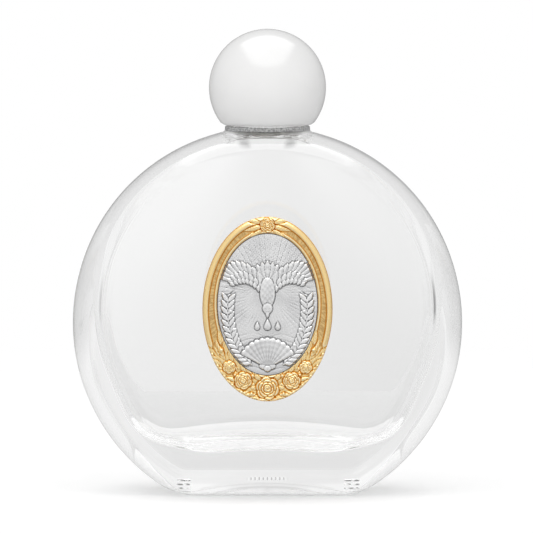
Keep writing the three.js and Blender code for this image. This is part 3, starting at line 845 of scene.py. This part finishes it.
def wing_row(height, x, y, hand, count, tip, inward, arch, long, width, angles, seat, bow=0.0):
    """A row of feathers from the wing's tip inwards. long gives the length at each share t."""
    for k in range(count):
        t = k / (count - 1)
        root = (hand * (tip[0] - inward[0] * t),
                tip[1] - inward[1] * t + arch * math.sin(math.pi * t))
        angle = angles[0] + angles[1] * t
        height = feather(height, x, y, root, long(t), width,
                         angle if hand > 0 else 180 - angle, seat, bow * hand)
    return height


# %% Medallion: the dove
def dove(height, x, y):
    for k in (-3, 3, -2, 2, -1, 1, 0):
        height = feather(height, x, y, (0.3 * k, 5.6), 5.0 - 0.25 * abs(k), 1.5, 90 - 13 * k, 0.3)
    for hand in (-1, 1):
        height = wing_row(height, x, y, hand, 10, (8.0, 5.4), (6.2, 2.0), 1.6,
                          lambda t: 4.2 + 1.5 * math.sin(2.2 * t + 0.5), 1.45, (22, 62), 0.3, 0.04)
        height = wing_row(height, x, y, hand, 8, (7.6, 5.0), (5.9, 2.2), 1.5,
                          lambda t: 2.5 + 0.7 * math.sin(math.pi * t), 1.25, (30, 58), 0.42)
        height = wing_row(height, x, y, hand, 9, (7.9, 4.5), (6.6, 2.3), 1.5,
                          lambda t: 1.5, 1.1, (38, 55), 0.5)
    body = oval(x, y, (0, 2.9), 3.7, 1.85, 90)
    height = lay(height, body, 0.42, 0.42, 0.16, 0.2)
    scales = 0.05 * np.cos(5.2 * x) * np.cos(4.2 * (y + 0.35 * np.abs(x)))
    height = np.where(body > 0.08, height + scales, height)
    height = lay(height, oval(x, y, (0, -0.9), 1.35, 1.2, 90), 0.5, 0.38, 0.12, 0.2)
    for hand in (-1, 1):
        height = lay(height, oval(x, y, (hand * 0.55, -1.2), 0.22, 0.22), 0.74, 0.1, 0.16, 0.5)
    beak = blade(x, y, (0, -1.7), 1.5, 0.95, -90, 0.3)[0]
    return lay(height, beak, 0.55, 0.25, 0.12, 0.3)


# %% Medallion: shell, drops and olive branches
def shell(height, x, y):
    hinge = (0, -15.6)
    dx, dy = x - hinge[0], y - hinge[1]
    r, angle = np.hypot(dx, dy), np.arctan2(dx, dy)
    ribs = 11
    spread = math.radians(62)
    phase = ribs * angle / spread * math.pi / 2
    edge = 7.3 + 0.28 * np.abs(np.cos(phase))
    shape = np.minimum((edge - r) / 1.6, (spread - np.abs(angle)) * r / 2)
    fan = 0.36 + 0.3 * np.sin(np.clip(r / edge, 0, 1) * 2.3)
    ribbed = fan + 0.13 * np.abs(np.cos(phase)) * smoothstep(0.5, 3, r) + 0.02 * np.cos(5.5 * r)
    moat = 0.2 * np.exp(-((shape / 0.12) ** 2))
    height = np.where(shape > 0, ribbed * smoothstep(-0.1, 0.16, shape), height - moat)
    for hand in (-1, 1):
        height = lay(height, oval(x, y, (hand * 1.0, -15.2), 1.1, 0.6, hand * 18), 0.36, 0.24, 0.12)
    return lay(height, oval(x, y, hinge, 0.9, 0.75), 0.4, 0.3, 0.12)


def drop(height, x, y, place, size):
    dx, dy = (x - place[0]) / size, (y - place[1]) / size
    taper = np.clip(1 - 0.55 * (dy + 0.2), 0.15, 1.3)
    shape = 1 - (dx / (0.62 * taper)) ** 2 - dy**2
    return lay(height, shape, 0.35, 0.42, 0.16, 0.3)


def branch_point(t):
    """A point of the branch's stem on the right, and its direction in degrees."""
    bend = math.radians(-66 + 74 * t)
    x, y = 9.7 * math.cos(bend), -1.2 + 14.6 * math.sin(bend)
    return (x, y), math.degrees(math.atan2(14.6 * math.cos(bend), -9.7 * math.sin(bend)))


def branch(height, x, y, hand):
    def placed(point):
        return (hand * point[0], point[1])

    for k in range(60):
        point, _ = branch_point(k / 59)
        height = lay(height, oval(x, y, placed(point), 0.24, 0.24), 0.3, 0.16, 0.03, 0.3)
    for k in range(13):
        point, heading = branch_point(0.02 + 0.97 * k / 12)
        for lean, long in ((38, 2.7), (-36, 2.5)):
            angle = heading + lean
            shape, t, off = blade(x, y, placed(point), long, 1.12,
                                  angle if hand > 0 else 180 - angle, 0.5)
            vein = 0.09 * np.exp(-((off / 0.09) ** 2))
            laid = lay(height, shape, 0.3, 0.34, 0.15, 0.28)
            height = np.where(shape > 0.05, laid - vein, laid)
        if k % 3 == 1:
            berry = placed((point[0] - 0.75, point[1] + 0.75))
            height = lay(height, oval(x, y, berry, 0.5, 0.42), 0.42, 0.3, 0.14, 0.3)
    return height


# %% [markdown]
# Behind the motifs lies the ground. Rays spread from the dove as fine ridges, and between them
# the ground is stippled, as a punch leaves it. The stipple is a real change of height too.
# The grid is a square bent to an oval, so its cells stay about the same size all over.

# %% Medallion: ground and the whole face
MEDALLION_ROWS = 300
GROUND_LIFT, GROUND_CROWN = 0.07, 0.2
RELIEF_SHARE = 0.72
FACE_TOP = 1.62
PATINA_REACH, PATINA_DEPTH = 9, 0.09


def stipple(x, y):
    """A punched ground: uneven dots from a few waves that cross at odd angles."""
    dots = sum(np.cos(13 * (x * math.cos(a) + y * math.sin(a)) + 5 * a * a)
               for a in (0.2, 0.9, 1.7, 2.4, 2.9))
    grit = np.cos(19 * x + 3 * np.sin(5 * y)) * np.cos(17 * y + 2 * np.sin(6 * x))
    return (0.009 * dots + 0.014 * grit) * (0.7 + 1.3 * smoothstep(4, 11, y))


def ground(x, y):
    dx, dy = x, y - 2.5
    r, angle = np.hypot(dx, dy), np.arctan2(dy, dx)
    rays = np.exp(-((np.cos(30 * angle) / 0.35) ** 2)) * (0.7 + 0.3 * np.cos(15 * angle))
    lit = smoothstep(-7, -3, y) * smoothstep(4, 7, r)
    water = np.exp(-((np.cos(2.3 * y + 0.9 * np.cos(0.9 * x) + 0.1 * x) / 0.3) ** 2))
    return stipple(x, y) - 0.11 * rays * lit - 0.11 * water * smoothstep(-6.5, -8, y)


def medallion_piece():
    side = np.linspace(-1, 1, MEDALLION_ROWS)
    v, u = np.meshgrid(side, side, indexing="ij")
    wide, high = WINDOW_WIDE - MEDALLION_FIT, WINDOW_HIGH - MEDALLION_FIT
    x, y = wide * u * np.sqrt(1 - v**2 / 2), high * v * np.sqrt(1 - u**2 / 2)
    height = ground(x, y)
    for hand in (-1, 1):
        height = branch(height, x, y, hand)
    height = shell(height, x, y)
    for place, size in (((0, -4.9), 1.35), ((-2.5, -5.2), 1.0), ((2.5, -5.2), 1.0)):
        height = drop(height, x, y, place, size)
    height = dove(height, x, y)
    height = blurred(height, 1, around=False)
    deep = blurred(height, PATINA_REACH, around=False) - height
    recess = np.clip(deep / PATINA_DEPTH, -1, 1)
    edge = (x / wide) ** 2 + (y / high) ** 2
    face = REBATE_DEPTH + GROUND_LIFT + GROUND_CROWN * (1 - edge) + RELIEF_SHARE * height
    flat = smoothstep(0.94, 1.0, edge)
    face = np.clip(face * smoothstep(1.0, 0.94, edge) + REBATE_DEPTH * flat, 0, FACE_TOP)

    grid = stood_up(x, y + WINDOW_LIFT, face)
    piece = skin("silver_medallion", grid, around=False)
    mark(piece, "recess", recess.ravel())
    return piece


silver_medallion = medallion_piece()
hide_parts("plaque_medallion")
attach(silver_medallion, "bottle")
print("medallion:", len(silver_medallion.data.polygons), "faces")

# %% [markdown]
# Pressed glass keeps the marks of its mould. At the front of the heel lie a knurled patch in the
# middle, a stack of short ridges at each corner and two faint flow lines. They are too shallow
# to be worth any mesh, so each is a formula in the material: a wave or a bell curve inside a
# soft window. The same formulas drive a bump, which bends the light, and a little grey for the
# light that worn glass scatters. A grey line low across the front of the heel, with no bump, is
# painted shade: it stands for a dark line that the bent light draws there.

# %% Clear glass: marks at the heel, and a painted shade line
MARK_WAVE = TURN / (1 * MM)
KNURL_BAND = np.multiply(MM, (3.9, 4.3, 4.5, 4.9))
KNURL_HALF, KNURL_FULL = 5.5 * MM, 3.5 * MM
RIDGE_BAND = np.multiply(MM, (0.8, 1.3, 4.2, 4.8))
RIDGE_SIDES = np.multiply(MM, (18.5, 19, 22, 22.6))
# Flow lines: lowest height, rise in the middle, half length.
FLOW_LINES = ((0.8 * MM, 1.5 * MM, 13 * MM), (1.6 * MM, 1.6 * MM, 17 * MM))
FLOW_WIDTH = 0.3 * MM
LENS_SHADE_HEIGHT, LENS_SHADE_WIDTH = 2.2 * MM, 1.1 * MM
LENS_SHADE_HALF, LENS_SHADE_FULL = 15 * MM, 4 * MM
FACE_FROM, FACE_TO = -11 * MM, -12.5 * MM


def heel_marks(shader, place):
    """Heights of the marks at the heel, and how much they grey the glass."""
    x, y, z = shader.parts(place)
    front = y.between(FACE_FROM, FACE_TO)
    knurl = (x * MARK_WAVE).math("COSINE") * abs(x).between(KNURL_HALF, KNURL_FULL)
    knurl = knurl * z.window(*KNURL_BAND) * front
    ridges = (z * MARK_WAVE).math("COSINE") * z.window(*RIDGE_BAND)
    ridges = ridges * abs(x).window(*RIDGE_SIDES) * front
    flow = 0.0
    for height, rise, half in FLOW_LINES:
        line = (z - height - rise + x * x * (rise / half**2)) * (1 / FLOW_WIDTH)
        flow = flow + line.bell() * abs(x).between(1.2 * half, 0.8 * half) * front
    # Painted shade: a grey line across the front of the heel, with no bump, for a dark line the bent
    # light draws there.
    lens = ((z - LENS_SHADE_HEIGHT) * (1 / LENS_SHADE_WIDTH)).bell()
    lens = lens * abs(x).between(LENS_SHADE_HALF, LENS_SHADE_FULL) * front
    chipped = shader.noise(place, 700, 2).between(0.42, 0.55)
    # The grey of worn glass, with the painted shade of that line added.
    worn = 0.75 * knurl + 1.3 * ridges * chipped + 0.18 * flow + 0.24 * lens
    return 0.5 * knurl + 0.5 * ridges + 0.7 * flow, worn.math("MAXIMUM", 0.0)


# %% Clear glass: painted shade on the shoulder
SHOULDER_SIDE, SHOULDER_HEIGHT = 5.5 * MM, 85.6 * MM
SHOULDER_WIDE, SHOULDER_HIGH = 1.5 * MM, 0.8 * MM
SHOULDER_LEAN = 0.3 * MM


def shoulder_shade(shader, place):
    """Two soft grey spots of painted shade beside the neck, on the front only, darker towards their
    upper edge.
    """
    x, y, z = shader.parts(place)
    across = (abs(x) - SHOULDER_SIDE) * (1 / SHOULDER_WIDE)
    rise = (z - SHOULDER_HEIGHT - SHOULDER_LEAN * across) * (1 / SHOULDER_HIGH)
    spot = (across * across + rise * rise).bell()
    return (0.45 + 0.25 * rise) * spot * y.between(-3 * MM, -5 * MM)


# %% [markdown]
# Clear glass takes almost no colour of its own. What makes it look real is what it bends: the
# pale backdrop, the grey sides of the studio and the floor. The Principled shader with full
# transmission does that. Two kinds of ray do badly in it. Shadow rays have to reach the floor
# through the bottle, and a path tracer finds those ways slowly. Rays that were mirrored inside
# the wall several times end in black. For both, the surface turns into a clear film, and the
# film is faintly tinted for shadows only. The outside of the ring under the cap is sandy, so
# there the surface is rough and greyer. Its upper part is darkened more, as painted shade under
# the cap. The grey of the glass also carries painted shade on the heel and on the shoulder.

# %% Material: clear glass
MIRRORED_OFTEN, PASSED_OFTEN = 3.5, 8.5
CLEAR, WORN_AND_SHADE = (0.967, 0.968, 0.967), (0.06, 0.06, 0.062)
SHADOW_TINT = (0.945, 0.947, 0.946, 1)


def neck_band(shader, place):
    """The outside of the ring under the cap, which was never polished, and its upper part, which takes
    painted shade.
    """
    x, y, z = shader.parts(place)
    reach = (x * x + y * y).math("SQRT")
    band = z.window(RING_FOOT, RING_FOOT + 0.15 * MM, ring_top, ring_top + 0.1 * MM)
    upper = z.between(RING_FOOT + 0.4 * MM, RING_FOOT + 0.7 * MM)
    return band * reach.between(0.9 * NECK_RING_RADIUS, 0.93 * NECK_RING_RADIUS), upper


def glass_material():
    shader, place = new_material("clear_glass")
    band, upper = neck_band(shader, place)
    smudge = shader.noise(place, 55, 3).between(0.52, 0.78)
    crumbs = shader.noise(place, 1900, 3, 0.6)
    marks, worn = heel_marks(shader, place)
    # The upper part of the ring is darkened as painted shade under the cap; the crumbs are its real
    # grit.
    dark = band * (0.72 * upper + 0.3 * crumbs.between(0.4, 0.62))
    # The heel's grey is wear with a painted shade line in it; the shoulder spots are painted shade.
    dark = dark.math("MAXIMUM", worn).math("MAXIMUM", shoulder_shade(shader, place))
    waves = shader.noise(place, 34, 1) + 6 * band * crumbs
    glass = shader.surface(
        Base_Color=shader.blend(dark, CLEAR, WORN_AND_SHADE), IOR=1.51, Transmission_Weight=1.0,
        Roughness=0.012 * smudge + 0.3 * band,
        Normal=shader.bump(waves, 0.12, 0.2 * MM, shader.bump(marks, 0.8, 0.25 * MM)))
    path = shader.node("ShaderNodeLightPath")
    shadow = path["Is Shadow Ray"]
    clear = shader.node("ShaderNodeBsdfTransparent", None, Color=(1, 1, 1, 1))[0]
    tinted = shader.node("ShaderNodeBsdfTransparent", None, Color=SHADOW_TINT)[0]
    deep = path["Glossy Depth"].math("GREATER_THAN", MIRRORED_OFTEN)
    deep = deep.math("MAXIMUM", path["Transmission Depth"].math("GREATER_THAN", PASSED_OFTEN))
    film = shader.layered(shadow, clear, tinted)
    return shader.finish(shader.layered(shadow.math("MAXIMUM", deep), glass, film))


# %% [markdown]
# The ball is glossy moulded plastic: white, with a clear sharp highlight and a skin that is
# never quite even. A slow noise moves its colour and roughness a little, and a very shallow bump
# breaks up the reflections as the real mould does. One function with a few settings makes the
# plainer plastic of the bushing, the foam and the mounting pad too, because they differ only
# in tone, gloss and grain.

# %% Materials: plastics and foam
def plastic_material(name, pale, deep, roughness, grain, depth):
    shader, place = new_material(name)
    cloud = shader.noise(place, 90, 2).between(0.3, 0.7)
    skin_noise = shader.noise(place, grain, 2)
    return shader.finish(shader.surface(
        Base_Color=shader.blend(cloud, pale, deep), Roughness=roughness + 0.05 * cloud,
        Normal=shader.bump(skin_noise, 0.25, depth)))


# %% [markdown]
# Gilding is bright and pale where it was polished and turns deep orange in the recesses. That
# orange is partly lacquer that collects there and partly painted shade: the dimmer, redder light
# that gold throws about inside a hollow. The recess mark, kept on each point of the mesh, drives
# that change. The band of the frame was brushed across, so a noise that runs fast along the
# oval and hardly at all across it gives both its streaks and its darker tone.

# %% Material: gilding
GILT, GILT_BAND = (0.97, 0.72, 0.335), (0.6, 0.39, 0.16)
GILT_LACQUER_AND_SHADE, GILT_POLISHED = (0.66, 0.28, 0.03), (1.0, 0.87, 0.58)


def gilt_material():
    shader, place = new_material("gilding")
    recess, brushed = shader.kept("recess"), shader.kept("brushed")
    lines = shader.noise(shader.kept("streaks", "Vector"), 42, 3, 0.65)
    grain = shader.noise(place, 2600, 2)
    hollow = recess.between(0.04, 0.75)
    polish = recess.between(-0.05, -0.7)
    worn = brushed * (0.35 + 0.65 * lines.between(0.38, 0.6))
    # Deep orange in the recesses: lacquer and painted shade together.
    shaded = shader.blend(hollow, shader.blend(worn, GILT, GILT_BAND), GILT_LACQUER_AND_SHADE)
    return shader.finish(shader.surface(
        Base_Color=shader.blend(polish * 0.85, shaded, GILT_POLISHED), Metallic=1.0,
        Roughness=0.3 + 0.14 * brushed + 0.15 * hollow + 0.05 * grain,
        Normal=shader.bump(brushed * lines + 0.2 * grain, 0.3, 0.05 * MM)))


# %% [markdown]
# Silver is struck bright, dipped in a darkening bath, and wiped. The high spots come clean and
# the hollows stay black, so the recess mark is the patina. A fine grain keeps the wiped metal
# satin instead of mirror-like.

# %% Material: silver with patina
SILVER_DULL, SILVER = (0.69, 0.69, 0.695), (0.82, 0.82, 0.822)
PATINA, SILVER_WIPED = (0.06, 0.06, 0.065), (0.93, 0.93, 0.93)


def silver_material():
    shader, place = new_material("patinated_silver")
    recess = shader.kept("recess")
    grain = shader.noise(place, 3200, 2)
    cloud = shader.noise(place, 160, 3)
    hollow = recess.between(0.14, 1.0)
    bright = recess.between(0.05, -0.5)
    base = shader.blend(cloud.between(0.35, 0.65), SILVER_DULL, SILVER)
    stained = shader.blend(hollow * 0.66, base, PATINA)
    return shader.finish(shader.surface(
        Base_Color=shader.blend(bright * 0.85, stained, SILVER_WIPED), Metallic=1.0,
        Roughness=0.34 + 0.2 * hollow + 0.08 * grain,
        Normal=shader.bump(grain, 0.35, 0.03 * MM)))


# %% [markdown]
# The sheet behind the medallion is plain rolled steel that nobody was meant to see. Rolling
# leaves fine level lines, so the noise is squeezed along Z, and the same noise moves the colour,
# the roughness and the bump.

# %% Material: backing sheet
def backing_material():
    shader, place = new_material("backing_sheet")
    along = shader.node("ShaderNodeMapping", None, Vector=place, Scale=(1, 1, 40))[0]
    lines = shader.noise(along, 120, 3)
    return shader.finish(shader.surface(
        Base_Color=shader.blend(lines, (0.4, 0.4, 0.41), (0.55, 0.55, 0.56)), Metallic=1.0,
        Roughness=0.38 + 0.15 * lines, Normal=shader.bump(lines, 0.3, 0.03 * MM)))


# %% [markdown]
# Every piece now gets its material. The hidden ones keep the working model's own shape, which is
# good enough for what is seen of them through the glass or with the cap lifted, but they get
# a real finish like all the rest.

# %% Give every piece its material
white_plastic = plastic_material(
    "white_ball_plastic", (0.885, 0.883, 0.88), (0.865, 0.862, 0.858), 0.12, 420, 0.02 * MM)
inner_plastic = plastic_material(
    "bushing_plastic", (0.78, 0.765, 0.73), (0.72, 0.705, 0.67), 0.38, 900, 0.04 * MM)
liner_foam = plastic_material(
    "liner_foam", (0.82, 0.8, 0.74), (0.74, 0.72, 0.66), 0.8, 2500, 0.08 * MM)
mounting_pad = plastic_material(
    "mounting_pad", (0.84, 0.84, 0.8), (0.62, 0.62, 0.59), 0.5, 1100, 0.08 * MM)


def dress(piece, material):
    piece.data.materials.clear()
    piece.data.materials.append(material)


for piece, material in (
    (flask, glass_material()), (ball_dome, white_plastic), (ball_base, white_plastic),
    (gilt_frame, gilt_material()), (silver_medallion, silver_material()),
    (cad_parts["cap_insert"], inner_plastic), (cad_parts["cap_liner"], liner_foam),
    (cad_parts["plaque_backing"], backing_material()),
    (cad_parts["plaque_adhesive"], mounting_pad),
):
    dress(piece, material)
print("materials:", len(bpy.data.materials))

# %% [markdown]
# The floor is pale and plain and only has to catch the object's shadow. One tone can't serve
# all that look at it, and the Light Path node tells them apart. The camera sees the floor lifted
# to just over white, so only the shadow close to the foot stays visible. Round the foot that
# lift is held back, which adds a painted shadow to the real one. Through the glass the floor
# has a painted pool of light, brighter within six centimetres of the foot and brightest under
# it. Mirrored in the metal it is a little darker. It fades out before its edge, so no line shows.

# %% Studio: floor
FLOOR_RADIUS = 0.5
FLOOR_COLOUR = 0.8
FLOOR_LIFT = 0.32
PAINTED_FOOT_SHADE = 0.3
SHADE_FROM, SHADE_TO = 14 * MM, 44 * MM
THROUGH_LIFT = 0.09
PAINTED_GLOW_LIFT = 0.27
GLOW_RADIUS = 60 * MM
PAINTED_UNDER_LIFT = 0.04
UNDER_FULL, UNDER_RADIUS = 18 * MM, 24 * MM
MIRRORED = 0.15
FLOOR_DROP = 0.05 * MM


def floor_piece(columns=96, rows=24):
    angle = np.arange(columns) * TURN / columns
    reach = np.linspace(0.01, 1, rows)[:, None] * FLOOR_RADIUS
    grid = np.stack([reach * np.cos(angle), reach * np.sin(angle), 0 * reach * angle], axis=-1)
    floor = skin("floor", grid, capped=(0,))
    floor.location.z = -FLOOR_DROP
    return floor


def floor_material():
    shader, place = new_material("pale_floor")
    x, y, _ = shader.parts(place)
    far = (x * x + y * y).math("SQRT")
    path = shader.node("ShaderNodeLightPath")
    seen_in = path["Transmission Depth"].math("GREATER_THAN", 0.5)
    mirrored = path["Is Glossy Ray"] * (1 - seen_in)
    grain = shader.noise(place, 30, 3)
    pale = shader.blend(grain, (FLOOR_COLOUR,) * 3, (FLOOR_COLOUR - 0.01,) * 3)
    matte = shader.surface(
        Base_Color=shader.blend(mirrored * MIRRORED, pale, (0.02, 0.02, 0.02)),
        Roughness=0.9, Specular_IOR_Level=0.0)
    # Painted pool of light, seen through the glass: brighter within GLOW_RADIUS of the middle, and
    # more under the foot.
    painted_glow = THROUGH_LIFT + PAINTED_GLOW_LIFT * far.between(1.03 * GLOW_RADIUS, 0.97 * GLOW_RADIUS)
    painted_glow = painted_glow + PAINTED_UNDER_LIFT * far.between(UNDER_RADIUS, UNDER_FULL)
    # Painted shadow: round the foot the camera's lift is held back, so the floor there is darker than
    # its real shadow makes it.
    from_foot = (x * x * 0.8 + y * y).math("SQRT")
    open_floor = faded(PAINTED_FOOT_SHADE, 1.0, from_foot.between(SHADE_FROM, SHADE_TO))
    seen = FLOOR_LIFT * path["Is Camera Ray"] * open_floor + seen_in * painted_glow
    lift = shader.node("ShaderNodeEmission", None, Color=seen)[0]
    lit = shader.node("ShaderNodeAddShader", None, matte, lift)[0]
    clear = shader.node("ShaderNodeBsdfTransparent")[0]
    edge = far.between(0.35 * FLOOR_RADIUS, 0.95 * FLOOR_RADIUS)
    return shader.finish(shader.layered(edge, lit, clear))


floor = floor_piece()
dress(floor, floor_material())
floor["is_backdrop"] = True

# %% [markdown]
# Behind the bottle stands a pale card that only the glass shows. Studio light never falls
# evenly on a backdrop: this one is darker to the right, near the floor and in a fan below the
# neck, and that gives the clear face of the flask its soft shading.

# %% Studio: backdrop card
CARD_DISTANCE = 0.3
CARD_WIDTH, CARD_HEIGHT = 0.5, 0.3
CARD_TONE = 1.0
RIGHT_SHADE, LOW_SHADE, FAN_SHADE = 0.08, 0.09, 0.07
FAN_TOP = 0.098


def card_piece():
    side = np.linspace(-0.5, 0.5, 2)
    up, across = np.meshgrid(side, side, indexing="ij")
    grid = np.stack([across * CARD_WIDTH, 0 * up, up * CARD_HEIGHT], axis=-1)
    card = skin("backdrop_card", grid, around=False)
    card.location = (0, CARD_DISTANCE, CARD_HEIGHT / 2)
    card.visible_camera = card.visible_diffuse = card.visible_glossy = False
    card.visible_shadow = False
    return card


def card_material():
    shader, place = new_material("backdrop_card")
    x, _, z = shader.parts(place)
    z = z + (CARD_HEIGHT / 2 + CARD_DISTANCE * math.tan(CAMERA_PITCH))
    fan = (abs(x) / (FAN_TOP - z).math("MAXIMUM", 0.002)).between(0.95, 0.2)
    tone = CARD_TONE - RIGHT_SHADE * x.between(-0.02, 0.045) - LOW_SHADE * z.between(0.085, 0.01)
    tone = tone - FAN_SHADE * fan * z.between(0.0, 0.06)
    light = shader.node("ShaderNodeEmission", None, Color=tone)[0]
    return shader.finish(light)


card = card_piece()
dress(card, card_material())
card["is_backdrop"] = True

# %% [markdown]
# The world is the studio, and again each kind of ray finds what it needs there. The camera sees
# plain white. Glass sees white behind it and above, and grey at the sides, darker on the right,
# which is what draws its rim; what was mirrored in the wall several times ends in a light grey.
# Metal and plastic mirror a bright front and a dim back, so the ball gets its thin darker
# outline. Matte surfaces get soft light, most of it from the front and from above, and a
# little less from the right.

# %% Studio: world
SIDE_LEFT, SIDE_RIGHT = 0.62, 0.3
BEHIND = 0.93
FAR_INSIDE = 0.81
MIRROR_FRONT, MIRROR_BACK = 0.9, 0.3
AMBIENT, AMBIENT_FRONT, AMBIENT_TOP, AMBIENT_RIGHT = 0.56, 0.46, 0.29, -0.12


def studio_world():
    world = bpy.data.worlds.new("studio")
    bpy.context.scene.world = world
    shader = Shader(world)
    x, y, z = shader.parts(shader.node("ShaderNodeTexCoord")["Generated"])
    path = shader.node("ShaderNodeLightPath")
    inside = path["Glossy Depth"].math("GREATER_THAN", MIRRORED_OFTEN)
    glass_ray = path["Is Transmission Ray"].math("MAXIMUM", inside)
    side = faded(SIDE_LEFT, SIDE_RIGHT, x.between(-0.3, 0.3))
    through = faded(side, BEHIND, abs(y).between(0.25, 0.9))
    through = faded(through, FAR_INSIDE, inside)
    through = faded(through, BEHIND, z.between(-0.05, 0.15))
    front = y.between(0.3, -0.6)
    mirror = faded(MIRROR_BACK, MIRROR_FRONT, front)
    mirror = faded(mirror, MIRROR_FRONT, 0.5 * z.between(0.1, 0.5))
    level = AMBIENT + AMBIENT_FRONT * front + AMBIENT_TOP * z.between(-0.2, 1)
    level = level + AMBIENT_RIGHT * x.between(-0.3, 0.8)
    for ray, seen in ((path["Is Glossy Ray"], mirror), (glass_ray, through),
                      (path["Is Camera Ray"], 1.0)):
        level = faded(level, seen, ray)
    light = shader.node("ShaderNodeBackground", None, Color=(1, 1, 1, 1), Strength=level)[0]
    return shader.finish(light)


studio_world()

# %% [markdown]
# One large soft light hangs over the bottle. It is what the white patch on top of the ball
# mirrors, so its outline was worked out from that patch: on a ball, the surface faces half
# way between the viewer and what it reflects. That gave a panel with a round front end and
# soft edges. The world lights the matte surfaces, so this panel is left to the mirror-like ones.

# %% Studio: overhead light
LIGHT_HEIGHT = 0.5
LIGHT_WIDTH = 0.65
LIGHT_FRONT, LIGHT_BACK = -0.21, 0.36
LIGHT_EDGE = 0.05
LIGHT_STRENGTH = 2.8


def overhead_piece():
    side = np.linspace(-1, 1, 2)
    along, across = np.meshgrid(side, side, indexing="ij")
    grid = np.stack([across * LIGHT_WIDTH, -along * LIGHT_WIDTH, 0 * along], axis=-1)
    panel = skin("overhead_light", grid, around=False)
    panel.location.z = ball_centre + LIGHT_HEIGHT
    panel.visible_camera = panel.visible_diffuse = panel.visible_transmission = False
    panel.visible_shadow = False
    return panel


def overhead_material():
    shader, place = new_material("overhead_light")
    x, y, _ = shader.parts(place)
    ahead = (LIGHT_FRONT - y).math("MAXIMUM", 0.0)
    reach = (x * x + ahead * ahead).math("SQRT")
    lit = reach.between(LIGHT_WIDTH / 2 + LIGHT_EDGE, LIGHT_WIDTH / 2 - LIGHT_EDGE)
    lit = lit * y.between(LIGHT_BACK + LIGHT_EDGE, LIGHT_BACK - LIGHT_EDGE)
    light = shader.node("ShaderNodeEmission", None, Color=(1, 1, 1, 1), Strength=LIGHT_STRENGTH)[0]
    clear = shader.node("ShaderNodeBsdfTransparent")[0]
    return shader.finish(shader.layered(lit, clear, light))


overhead = overhead_piece()
dress(overhead, overhead_material())
overhead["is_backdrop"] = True

# %% [markdown]
# Last, the sizes of the working model and of the dressed bottle are printed side by side.

# %% Print the sizes
scene = bpy.context.scene
scene.view_settings.view_transform = "Standard"
bpy.context.view_layer.update()
dressed_low, dressed_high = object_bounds()
boxes = {"cad": [list(model_low), list(model_high)],
         "visual": [list(dressed_low), list(dressed_high)]}
for name, pair in boxes.items():
    print(name, "box in mm:", [[round(v / MM, 2) for v in corner] for corner in pair])
